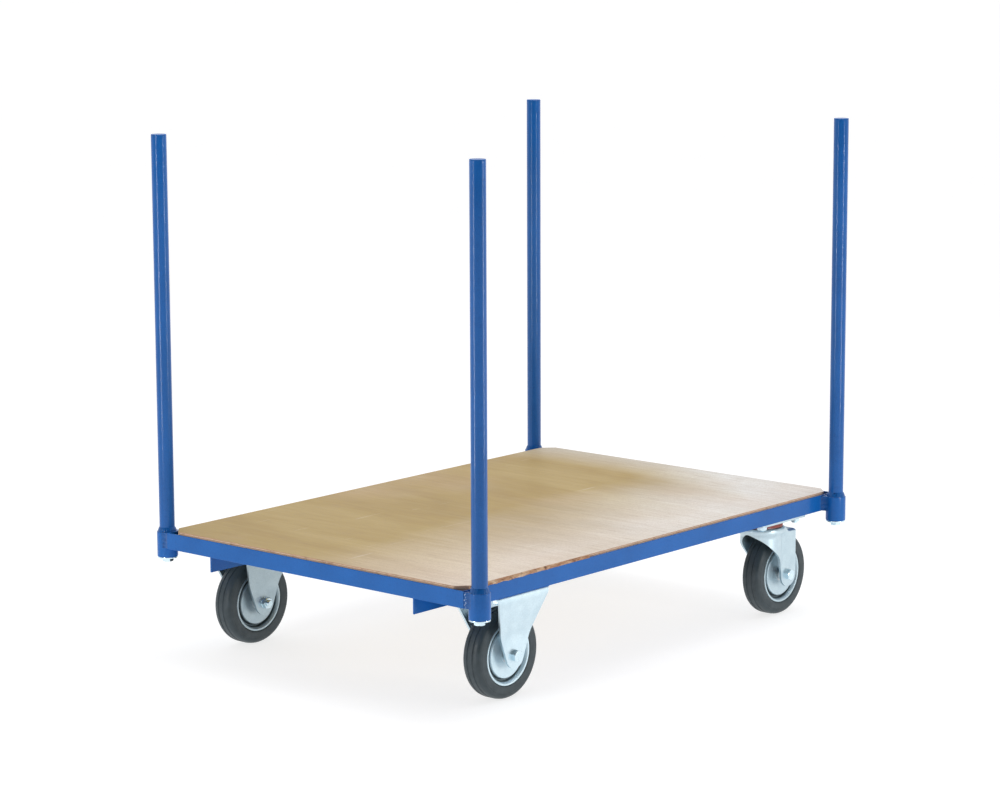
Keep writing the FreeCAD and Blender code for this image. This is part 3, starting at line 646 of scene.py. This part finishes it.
tops, collars, washers, bolts = [], [], [], []
for corner in CORNERS:
    name = "%s_%s" % corner
    spot = middle(f"socket_{name}")
    socket_low, socket_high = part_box(f"socket_{name}")
    post_low, post_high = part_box(f"post_{name}")
    socket_radius = (socket_high.x - socket_low.x) / 2
    post_radius = (post_high.x - post_low.x) / 2
    axis = (spot.x, spot.y, 0)
    socket = ring_of(socket_radius, socket_radius - 4 * MM, socket_low.z, socket_high.z, 0.9 * MM)
    piece(f"socket_{name}_tube", moved(socket, axis), BLUE, "chassis", f"socket_{name}")
    post = ring_of(post_radius, post_radius - 2 * MM, post_low.z, post_high.z, 0.25 * MM)
    piece(f"post_{name}_tube", moved(post, axis), POST, "chassis", f"post_{name}")
    cap = lathe(filleted([(0, post_high.z + 0.15 * MM), (post_radius - 0.5 * MM, post_high.z + 0.15 * MM),
                          (post_radius - 0.05 * MM, post_high.z + 0.45 * MM, 0.2 * MM),
                          (post_radius - 0.05 * MM, cap_top, 0.9 * MM), (0, cap_top)]), 72)
    tops.append(moved(cap, axis))
    cone = weld_cone(collar_low.z, collar_high.z, socket_radius - 1.3 * MM, post_radius, post_radius - 1 * MM)
    collars.append(moved(cone, axis))
    washer = ring_of(socket_radius - 0.5 * MM, SHANK_RADIUS, washer_low.z, washer_high.z, 0.8 * MM)
    washers.append(moved(washer, axis))
    head = hexagon(POST_BOLT_FLATS, washer_low.z - bolt_low.z, (True, False))
    bolts.append(moved(head, (spot.x, spot.y, bolt_low.z), any_turn()))
    bolts.append(moved(threaded(SHANK_RADIUS - 0.2 * MM, washer_low.z, bolt_high.z, 1.5 * MM), axis))
    outward = SIDES[corner[1]]
    for along in (-1, 1):
        # the face ends beside the socket on its outer side, and goes on along the rail on the other
        reach = -0.3 * MM if along * spot.x > 0 else 4 * MM
        weld = fillet_weld(socket_radius, socket_radius + reach,
                           frame_bottom + 0.6 * MM, socket_high.z + 0.8 * MM)
        bmesh.ops.scale(weld, vec=(along, -outward, 1), verts=weld.verts)
        end = "front" if along > 0 else "back"
        piece(f"weld_{name}_{end}", moved(weld, axis), WELD, "chassis", sharp=60)
piece("post_caps_discs", joined(*tops), BLUE, "chassis", "post_caps")
piece("post_collars_welds", joined(*collars), WELD, "chassis", "post_collars", sharp=50)
fastener("post_washers_discs", joined(*washers), "post_washers", sharp=35)
fastener("post_bolts_hex", joined(*bolts), "post_bolts")


# ------------------------------------------------------------------------ wheels

TO_Y = Matrix.Rotation(-math.pi / 2, 4, "X")


def mirror_profile(half):
    """An outline symmetric about height 0, from its upper half given from the inside out."""
    return half + [(p[0], -p[1], *p[2:]) for p in reversed(half)]


def tyre_profile(radius, half, rim):
    """Rounded shoulders, two grooves round the tread and a fine ring on each side wall."""
    m = MM
    upper = [
        (rim - 5 * m, half - 10 * m), (rim - 2.8 * m, half - 5.4 * m),
        (rim + 0.5 * m, half - 2.6 * m, 0.5 * m),
        (rim + 1.2 * m, half - 0.9 * m, 1 * m), (rim + 4 * m, half - 0.1 * m, 3 * m),
        (radius - 9.4 * m, half, 3 * m), (radius - 9.0 * m, half - 0.45 * m, 0.2 * m),
        (radius - 8.2 * m, half - 0.45 * m, 0.2 * m), (radius - 7.8 * m, half - 0.35 * m, 1 * m),
        (radius - 3.2 * m, half - 2.3 * m, 5 * m), (radius - 0.7 * m, half - 7.2 * m, 7 * m),
        (radius - 0.15 * m, half - 11.6 * m, 3 * m),
        (radius, TREAD_GROOVE + 2.0 * m, 0.7 * m), (radius - 1.4 * m, TREAD_GROOVE + 0.9 * m, 0.7 * m),
        (radius - 1.4 * m, TREAD_GROOVE - 0.9 * m, 0.7 * m), (radius, TREAD_GROOVE - 2.0 * m, 0.7 * m),
    ]
    return filleted(mirror_profile(upper))


def rim_profile(rim, half, hub):
    """One pressed disc: flat centre, deep channel and a lip turned over the tyre."""
    m = MM
    return filleted([
        (hub - 0.5 * m, half - 4.4 * m), (hub + 1.5 * m, half - 4.4 * m, 1 * m),
        (hub + 4 * m, half - 4.0 * m, 4 * m),
        (rim - 13.4 * m, half - 4.0 * m, 1.6 * m), (rim - 11.2 * m, half - 12.8 * m, 1.6 * m),
        (rim - 7.3 * m, half - 12.8 * m, 1.4 * m), (rim - 5.8 * m, half - 4.6 * m, 2.4 * m),
        (rim - 3.6 * m, half - 1.2 * m, 1.4 * m), (rim - 0.4 * m, half - 1.0 * m, 0.7 * m),
        (rim + 0.1 * m, half - 2.8 * m, 0.4 * m), (rim - 1.4 * m, half - 2.9 * m, 0.4 * m),
        (rim - 2.8 * m, half - 4.6 * m, 1.2 * m), (rim - 5.9 * m, half - 12.0 * m, 1 * m),
        (rim - 5.9 * m, half - 14.5 * m, 1 * m), (rim - 12.7 * m, half - 14.5 * m, 1.6 * m),
        (rim - 15 * m, half - 6.1 * m, 2 * m), (hub - 0.5 * m, half - 6.1 * m),
    ])


TREAD_GROOVE = 6 * MM
HUB_RADIUS = 15 * MM
for end, side in CORNERS:
    name = f"{end}_{side}"
    body = f"wheel_{name}"
    tyre_low, tyre_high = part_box(f"tyre_{name}")
    hub_spot = (tyre_low + tyre_high) / 2
    tyre_radius, tyre_half = (tyre_high.x - tyre_low.x) / 2, (tyre_high.y - tyre_low.y) / 2
    rim_low, rim_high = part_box(f"rim_{name}")
    rim_radius = (rim_high.x - rim_low.x) / 2
    tyre = lathe(tyre_profile(tyre_radius, tyre_half, rim_radius), 160)
    piece(f"tyre_{name}_tread", moved(tyre, hub_spot, TO_Y), TYRE, body, f"tyre_{name}",
          place=hub_spot, sharp=50)
    disc = rim_profile(rim_radius, tyre_half, HUB_RADIUS)
    discs = [lathe([(radius, height * face) for radius, height in disc], 144) for face in (1, -1)]
    plating = REAR_RIMS[side] if end == "rear" else RIM
    piece(f"rim_{name}_discs", moved(joined(*discs), hub_spot, TO_Y), plating, body,
          f"rim_{name}", place=hub_spot, sharp=50)
    hub_low, hub_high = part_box(f"hub_{name}")
    hub_half = (hub_high.y - hub_low.y) / 2
    disc_face = tyre_half - 3.6 * MM
    barrel = lathe(filleted(mirror_profile([
        (8.1 * MM, hub_half), (9.6 * MM, hub_half, 0.5 * MM), (10.4 * MM, hub_half - 3 * MM, 1 * MM),
        (10.4 * MM, disc_face + 1.5 * MM, 1.2 * MM), (HUB_RADIUS - 0.1 * MM, disc_face, 0.5 * MM),
    ])), 72)
    piece(f"hub_{name}_barrel", moved(barrel, hub_spot, TO_Y), HUB, body, f"hub_{name}",
          place=hub_spot)


# ------------------------------------------------------------------------- axles

AXLE_FLATS = 19 * MM
LEG_OUTSIDE = 34.5 * MM
LEG_INSIDE = 30.5 * MM
AXLE_HEAD = 7.5 * MM
AXLE_NUT = 10 * MM
AXLE_TAIL = 5 * MM


def axle_bolt_mesh(spot, sign):
    """Head on the outside of the trolley, threaded end past the nut on the inside."""
    head = moved(hexagon(AXLE_FLATS, AXLE_HEAD), (0, 0, LEG_OUTSIDE))
    face = lathe(filleted([(0, LEG_OUTSIDE), (AXLE_FLATS * 0.47, LEG_OUTSIDE),
                           (AXLE_FLATS * 0.47, LEG_OUTSIDE + 0.4 * MM), (0, LEG_OUTSIDE + 0.4 * MM)]), 48)
    shank = lathe([(0, -LEG_OUTSIDE), (SHANK_RADIUS, -LEG_OUTSIDE),
                   (SHANK_RADIUS, LEG_OUTSIDE), (0, LEG_OUTSIDE)], 48, closed=False)
    thread = moved(threaded(SHANK_RADIUS, 0, AXLE_NUT + AXLE_TAIL, 1.75 * MM, 0.9 * MM),
                   (0, 0, -LEG_OUTSIDE), Matrix.Rotation(math.pi, 4, "X"))
    whole = moved(joined(head, face, shank, thread), turn=Matrix.Rotation(0.35 + 0.2 * sign, 4, "Z"))
    return moved(whole, spot, Matrix.Rotation(-math.pi / 2 * sign, 4, "X"))


def axle_nut_mesh(spot, sign):
    """A flanged nut on the inside of the trolley."""
    nut = hexagon(AXLE_FLATS, AXLE_NUT, (False, True), bore=SHANK_RADIUS + 0.05 * MM)
    skirt = ring_of(AXLE_FLATS * 0.56, SHANK_RADIUS + 0.3 * MM, 0, 1.3 * MM, 0.4 * MM, segments=48)
    whole = moved(joined(nut, skirt), turn=Matrix.Rotation(0.5, 4, "Z"))
    whole = moved(whole, (0, 0, LEG_OUTSIDE))
    return moved(whole, spot, Matrix.Rotation(math.pi / 2 * sign, 4, "X"))


def sleeve_mesh(spot, sign):
    """The tube that the wheel turns on. It is the same on both sides, whatever the sign."""
    return moved(ring_of(8 * MM, SHANK_RADIUS + 0.05 * MM, -LEG_INSIDE, LEG_INSIDE, 0.3 * MM), spot, TO_Y)


AXLE_PARTS = (("sleeve", "tube", sleeve_mesh, 35), ("bolt", "hex", axle_bolt_mesh, 25),
              ("nut", "hex", axle_nut_mesh, 25))
rear_spots = [(middle(f"tyre_rear_{side}"), sign) for side, sign in SIDES.items()]
for part, shape, make, sharp in AXLE_PARTS:
    pair = joined(*[make(spot, sign) for spot, sign in rear_spots])
    plural = "tubes" if shape == "tube" else shape
    fastener(f"axle_{part}s_rear_{plural}", pair, f"axle_{part}s_rear", sharp=sharp)
for side, sign in SIDES.items():
    spot = middle(f"tyre_front_{side}")
    for part, shape, make, sharp in AXLE_PARTS:
        node = f"axle_{part}_front_{side}"
        fastener(f"{node}_{shape}", make(spot, sign), node, f"swivel_front_{side}", sharp)


# ----------------------------------------------------------------------- castors

SHEET = 4 * MM
BOSS = 23 * MM
axle_height = middle("tyre_rear_left").z
plate_top = frame_bottom
plate_bottom = plate_top - SHEET


def fixed_bracket_mesh():
    """One folded sheet: boss, leg, splay, top plate, and down the other side."""
    m = MM
    edge, shoulder = 55 * m, plate_bottom - 5 * m
    touch = Vector((0.936 * BOSS, axle_height - 0.352 * BOSS))
    top_half, leg_half, corner = 70 * m, 65 * m, 5 * m
    leg = [(LEG_OUTSIDE, axle_height - BOSS), (LEG_OUTSIDE, 116 * m, 60 * m),
           (edge, plate_bottom - 7 * m, 22 * m), (edge, plate_top, 5.5 * m)]
    other_leg = [(-y, *rest) for y, *rest in reversed(leg)]
    path = filleted(leg + other_leg, closed=False, step=math.radians(6))
    # the boss's round end needs close rows
    rows = [0.02, 0.3, 0.9, 1.8, 3, 4.5, 6.5, 9, 12, 15]
    start = [Vector((LEG_OUTSIDE, axle_height - BOSS + row * m)) for row in rows]
    mirror = [Vector((-point.x, point.y)) for point in reversed(start)]
    path = [path[0]] + start + path[1:-1] + mirror + [path[-1]]
    path = divided(path, 5 * m)
    grid = []
    for y, z in path:
        if z < touch.y:
            half = math.sqrt(max(0, BOSS ** 2 - (z - axle_height) ** 2))
        elif z < shoulder:
            half = touch.x + (leg_half - touch.x) * (z - touch.y) / (shoulder - touch.y)
        elif z < plate_top - 2 * m:
            half = leg_half
        elif abs(y) > edge - corner:
            half = leg_half + math.sqrt(max(0, corner ** 2 - (abs(y) - edge + corner) ** 2))
        else:
            half = top_half
        grid.append([Vector((half * j / 14, y, z)) for j in range(-14, 15)])
    return sheet_metal(grid, SHEET)


for side in SIDES:
    spot = middle(f"tyre_rear_{side}")
    bracket = moved(fixed_bracket_mesh(), (spot.x, spot.y, 0))
    piece(f"bracket_rear_{side}_sheet", bracket, REAR_PLATES[side], "chassis",
          f"bracket_rear_{side}", bevel=0.5 * MM, sharp=50)

CROWN = 46 * MM
SKIRT = 40 * MM
HEAD = 37.5 * MM
TRAIL = 42 * MM
CROWN_TOP = low("dust_seal_left").z - 1 * MM
LEGS_TOP = plate_bottom - 25 * MM
CREASE = math.acos(20.2 * MM / SKIRT)
LEAD_KNEE = Vector((-4 * MM, 128 * MM))
LEAD_NOSE = Vector((-51 * MM, 173 * MM))
LEAD_FOOT = Vector((TRAIL - BOSS, axle_height + 4 * MM))
LEAD_RADIUS = 70 * MM
INNER_RING = 30 * MM


def smooth(value, start, end):
    """A soft step from 0 at start to 1 at end."""
    share = max(0.0, min(1.0, (value - start) / (end - start)))
    return share * share * (3 - 2 * share)


def fork_radius(z):
    """The plan radius of the skirt round the fork's front, which flares out into the crown."""
    swell = smooth(z, LEAD_FOOT.y - 8 * MM, LEAD_FOOT.y + 30 * MM)
    flare = smooth(z, CROWN_TOP - 19 * MM, CROWN_TOP - 7 * MM)
    return LEG_OUTSIDE + (SKIRT - LEG_OUTSIDE) * swell + (CROWN - SKIRT) * flare


def fork_bottom(x):
    """The height of the fork's lower edge: a slanted line, a hollow sweep, then the axle boss."""
    if x < LEAD_KNEE.x:
        slope = (LEAD_NOSE.y - LEAD_KNEE.y) / (LEAD_NOSE.x - LEAD_KNEE.x)
        return LEAD_KNEE.y + slope * (x - LEAD_KNEE.x)
    if x < LEAD_FOOT.x:
        chord = LEAD_FOOT - LEAD_KNEE
        reach = math.sqrt(LEAD_RADIUS ** 2 - chord.length_squared / 4)
        centre = (LEAD_KNEE + LEAD_FOOT) / 2 + Vector((chord.y, -chord.x)).normalized() * reach
        return centre.y + math.sqrt(LEAD_RADIUS ** 2 - (x - centre.x) ** 2)
    return axle_height - math.sqrt(max(0.0, BOSS ** 2 - (x - TRAIL) ** 2))


def shoulder_height(radius):
    """The fork's top: flat round the head, then sloping down to pass under the bearer's web."""
    if radius < CROWN:
        return CROWN_TOP
    rest, reach = LEGS_TOP + 1.3 * MM, 54.6 * MM
    if radius < reach:
        return CROWN_TOP + (rest - CROWN_TOP) * (radius - CROWN) / (reach - CROWN)
    return rest - 1 * MM * min(1.0, (radius - reach) / (18 * MM))


def fork_column(x_at, target):
    """One line up the fork's outside and in over its top. x_at gives its x at a height."""
    rows, turns, inward = 36, 5, 12
    lowest, highest = axle_height - BOSS, CROWN_TOP
    for _ in range(40):
        z = (lowest + highest) / 2
        if z < fork_bottom(x_at(z)):
            lowest = z
        else:
            highest = z
    foot = highest

    def side(z):
        x, radius = x_at(z), fork_radius(z)
        y = math.sqrt(max(0.0, radius ** 2 - x ** 2))
        return Vector((x, max(y, LEG_OUTSIDE) if x > 0 else y))

    crown = 1 - smooth(x_at(CROWN_TOP), 24 * MM, 33 * MM)
    leg_edge = shoulder_height(math.hypot(x_at(CROWN_TOP), LEG_OUTSIDE)) - 1.2 * MM
    edge = leg_edge + (CROWN_TOP - leg_edge) * crown
    bend = (2.5 + 1.5 * crown) * MM
    top = edge - bend
    foot = min(foot, top)
    points = []
    for row in range(rows):
        share = 1 - (1 - row / (rows - 1)) ** 1.5
        z = foot + (top - foot) * share
        points.append((*side(z), z))
    rim = side(top)
    way = target - rim
    length = way.length
    for step in range(1, turns + 1):
        angle = math.pi / 2 * step / turns
        spot = rim + way * (bend * (1 - math.cos(angle)) / length)
        points.append((*spot, top + bend * math.sin(angle)))
    for step in range(1, inward + 1):
        distance = bend + (length - bend) * step / inward
        spot = rim + way * (distance / length)
        points.append((*spot, min(edge + 0.6 * (distance - bend), shoulder_height(spot.length))))
    return points


def fork_mesh():
    """The fork's outer surface: two legs, the skirt between them, and the top."""
    columns = []
    # from the rear edge to the crease: close lines where the outline turns
    for share in (1, 0.998, 0.99, 0.975, 0.95, 0.91, 0.86, 0.8, 0.73, 0.66, 0.59, 0.52, 0.45, 0.38, 0.31,
                  0.25, 0.2, 0.15, 0.11, 0.08, 0.057, 0.042, 0.035, 0.016, 0):

        def x_at(z, share=share):
            crease = fork_radius(z) * math.cos(CREASE)
            return crease + (TRAIL + BOSS - crease) * share

        x = x_at(CROWN_TOP)
        crease_x = CROWN * math.cos(CREASE)
        angle = CREASE * max(0.0, min(1.0, (INNER_RING - x) / (INNER_RING - crease_x)))
        target = INNER_RING * Vector((math.cos(angle), math.sin(angle)))
        if x > INNER_RING:
            target = Vector((x, 0))
        columns.append(fork_column(x_at, target))
    count = 30
    for number in range(1, count + 1):
        angle = CREASE + (math.pi - CREASE) * number / count
        target = INNER_RING * Vector((math.cos(angle), math.sin(angle)))
        columns.append(fork_column(lambda z: fork_radius(z) * math.cos(angle), target))
    mirror = [[(x, -y, z) for x, y, z in column] for column in reversed(columns[:-1])]
    bm = bmesh.new()
    grid = [[bm.verts.new(point) for point in column] for column in columns + mirror]
    for here, there in zip(grid, grid[1:]):
        for row in range(len(here) - 1):
            bm.faces.new((here[row], there[row], there[row + 1], here[row + 1]))
    return bm


for side in SIDES:
    body = f"swivel_front_{side}"
    pin_low, pin_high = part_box(f"kingpin_{side}")
    pivot = middle(f"kingpin_{side}")
    axis = (pivot.x, pivot.y, 0)
    piece(f"fork_{side}_pressing", moved(fork_mesh(), axis), ZINC, body, f"fork_{side}",
          bevel=0.5 * MM, sharp=50, sheet=SHEET)
    head_high = high(f"fork_{side}").z
    head_bottom, neck_bottom = head_high - 9 * MM, CROWN_TOP - 0.5 * MM
    head = lathe(filleted([
        (7.2 * MM, head_bottom), (34 * MM, head_bottom), (34 * MM, neck_bottom),
        (HEAD, neck_bottom), (HEAD, head_high, 1 * MM), (7.2 * MM, head_high),
    ]), 96)
    piece(f"fork_{side}_head", moved(head, axis), ZINC, body)
    refined(f"swivel_plate_{side}", ZINC, 0.8 * MM)
    seal_low, seal_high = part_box(f"dust_seal_{side}")
    seal_inner, seal_outer = HEAD + 0.55 * MM, (seal_high.x - seal_low.x) / 2
    waist = seal_outer - 0.7 * MM
    seal = lathe(filleted([
        (seal_inner, seal_low.z), (seal_outer, seal_low.z, 0.6 * MM),
        (seal_outer, seal_low.z + 3.4 * MM, 0.6 * MM), (waist, seal_low.z + 4.2 * MM, 0.5 * MM),
        (waist, seal_high.z - 3.4 * MM, 1 * MM), (seal_outer - 1.9 * MM, seal_high.z, 0.8 * MM),
        (seal_inner, seal_high.z, 0.3 * MM),
    ]), 120)
    piece(f"dust_seal_{side}_ring", moved(seal, axis), SEAL, "chassis", f"dust_seal_{side}")
    rivet = (pin_high.x - pin_low.x) / 2
    pin = lathe(filleted([
        (0, pin_low.z), (rivet - 3 * MM, pin_low.z, 2 * MM), (rivet, pin_low.z + 4.5 * MM, 2.5 * MM),
        (rivet, pin_low.z + 7 * MM, 0.5 * MM), (7 * MM, pin_low.z + 7 * MM), (7 * MM, pin_high.z - 2 * MM),
        (9.6 * MM, pin_high.z - 1.9 * MM, 0.8 * MM), (8.5 * MM, pin_high.z, 0.8 * MM), (0, pin_high.z),
    ], closed=False), 72, closed=False)
    fastener(f"kingpin_{side}_rivet", moved(pin, axis), f"kingpin_{side}", sharp=35)

BOLT_FLATS = 16 * MM
BOLT_RADIUS = 5 * MM
FLANGE = 3 * MM
bolt_tail, head_top = low("castor_bolts").z, high("castor_bolts").z
nut_low, nut_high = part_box("castor_nuts")
bolt_x = nut_high.x - BOLT_FLATS / math.sqrt(3)
bolt_y = nut_high.y - BOLT_FLATS / 2
PITCH_ALONG, PITCH_ACROSS = 105 * MM, 80 * MM
head_bottom = plate_top + FLANGE
bolt_places = []
for along in (bolt_x, bolt_x - PITCH_ALONG, PITCH_ALONG - bolt_x, -bolt_x):
    for across in (bolt_y, bolt_y - PITCH_ACROSS, PITCH_ACROSS - bolt_y, -bolt_y):
        bolt_places.append((along, across))
bolts, nuts = [], []
for x, y in bolt_places:
    bolts.append(moved(hexagon(BOLT_FLATS, head_top - head_bottom), (x, y, head_bottom), any_turn()))
    bolts.append(moved(threaded(BOLT_RADIUS, bolt_tail, head_bottom, 1.5 * MM), (x, y, 0)))
fastener("castor_bolts_hex", joined(*bolts), "castor_bolts")
for x, y in bolt_places:
    nut = hexagon(BOLT_FLATS, nut_high.z - nut_low.z, (True, True), bore=BOLT_RADIUS + 0.05 * MM)
    nuts.append(moved(nut, (x, y, nut_low.z), any_turn()))
fastener("castor_nuts_hex", joined(*nuts), "castor_nuts")


def screw_mesh(head, shank, socket, height, length):
    """A pan head screw, head down, with a round socket: its head's flat side is on z = 0."""
    dome = lathe(filleted([
        (0, 0), (head, 0), (head, -height * 0.45, height * 0.3), (head * 0.8, -height, height * 0.5),
        (socket * 1.25, -height), (socket * 1.25, -height * 0.4), (0, -height * 0.4),
    ], closed=False), 48, closed=False)
    return joined(dome, threaded(shank, 0, length, 1.6 * MM, 1.5 * MM))


screws_low, screws_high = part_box("deck_screws")
SCREW_HEAD, SCREW_SHANK, SCREW_SOCKET = 4.5 * MM, 2.4 * MM, 1.6 * MM
bearer_bottom = low("cross_bearer_1").z
screws = []
for number in range(1, 5):
    for across in (screws_high.y - SCREW_HEAD, screws_low.y + SCREW_HEAD):
        screw = screw_mesh(SCREW_HEAD, SCREW_SHANK, SCREW_SOCKET, bearer_bottom - screws_low.z,
                           screws_high.z - bearer_bottom)
        screws.append(moved(screw, (middle(f"cross_bearer_{number}").x, across, bearer_bottom)))
fastener("deck_screws_pan", joined(*screws), "deck_screws")

# ------------------------------------------------------------- camera and studio

CAMERA_PLACE = (-4.3348, -3.7117, 1.4261)
AZIMUTH, ELEVATION, ROLL = map(math.radians, (-49.25, 9.72, -0.21))

camera = bpy.data.objects.new("camera", bpy.data.cameras.new("camera"))
camera.data.sensor_width = 36
camera.data.lens = 111.83
camera.data.clip_end = 100
back = Vector((math.sin(AZIMUTH) * math.cos(ELEVATION), -math.cos(AZIMUTH) * math.cos(ELEVATION),
               math.sin(ELEVATION)))
right = Vector((math.cos(AZIMUTH), math.sin(AZIMUTH), 0))
up = back.cross(right)
rolled_right = right * math.cos(ROLL) + up * math.sin(ROLL)
rolled_up = up * math.cos(ROLL) - right * math.sin(ROLL)
camera_axes = Matrix((rolled_right, rolled_up, back)).transposed()
camera.matrix_world = Matrix.Translation(CAMERA_PLACE) @ camera_axes.to_4x4()
bpy.context.scene.collection.objects.link(camera)
bpy.context.scene.camera = camera


def area_light(name, place, target, width, height, power):
    """A white rectangular light that faces its target and isn't itself seen."""
    lamp = bpy.data.lights.new(name, "AREA")
    lamp.shape = "RECTANGLE"
    lamp.size, lamp.size_y = width, height
    lamp.energy = power
    obj = bpy.data.objects.new(name, lamp)
    obj.location = place
    obj.rotation_euler = (Vector(target) - Vector(place)).to_track_quat("-Z", "Y").to_euler()
    obj.visible_camera = False
    bpy.context.scene.collection.objects.link(obj)


def studio_world(open_side, dim, bright):
    """A white studio that is dimmer on its open side. The background itself is plain white."""
    world = bpy.data.worlds.new("studio")
    bpy.context.scene.world = world
    world.use_nodes = True
    tree = world.node_tree
    shader = tree.nodes["Background"]
    direction = tree.nodes.new("ShaderNodeTexCoord").outputs["Generated"]
    facing = tree.nodes.new("ShaderNodeVectorMath")
    facing.operation = "DOT_PRODUCT"
    facing.inputs[1].default_value = open_side
    tree.links.new(direction, facing.inputs[0])
    level = tree.nodes.new("ShaderNodeMapRange")
    level.interpolation_type = "SMOOTHSTEP"
    for socket, value in {"From Min": -0.35, "From Max": 0.75, "To Min": bright, "To Max": dim}.items():
        level.inputs[socket].default_value = value
    tree.links.new(facing.outputs["Value"], level.inputs["Value"])
    seen = tree.nodes.new("ShaderNodeMix")
    seen.inputs["B"].default_value = 1.0
    tree.links.new(tree.nodes.new("ShaderNodeLightPath").outputs["Is Camera Ray"], seen.inputs["Factor"])
    tree.links.new(level.outputs["Result"], seen.inputs["A"])
    tree.links.new(seen.outputs["Result"], shader.inputs["Strength"])
    shader.inputs["Color"].default_value = (1, 1, 1, 1)


studio_world(Vector((back.x, back.y, 0)).normalized(), 0.06, 0.95)
# two upright strips make the bright streaks down the posts, and a broad box overhead lights the deck
area_light("left_box", (-2.2, 0.24, 0.5), (0, 0, 0.5), 0.14, 1.0, 10)
area_light("right_box", (0.42, -2.18, 0.5), (0, 0, 0.5), 0.14, 1.0, 10)
area_light("overhead", (0.6, -0.5, 3.6), (0, 0, 0), 2.5, 2.5, 50)
bpy.context.scene.view_settings.view_transform = "Standard"

floor_mesh = bpy.data.meshes.new("floor")
FLOOR = 30
floor_mesh.from_pydata([(-FLOOR, -FLOOR, 0), (FLOOR, -FLOOR, 0), (FLOOR, FLOOR, 0), (-FLOOR, FLOOR, 0)], [],
                       [(0, 1, 2, 3)])
floor = bpy.data.objects.new("floor", floor_mesh)
floor_look = Look("floor_look", Roughness=0.9, Emission_Color=(1, 1, 1, 1), Emission_Strength=0.74)
floor_tone = floor_look.ramp(floor_look.noise(3), (0.3, (0.35, 0.35, 0.355)), (0.7, (0.37, 0.37, 0.37)))
floor_mesh.materials.append(floor_look.wear(Base_Color=floor_tone))
bpy.context.scene.collection.objects.link(floor)
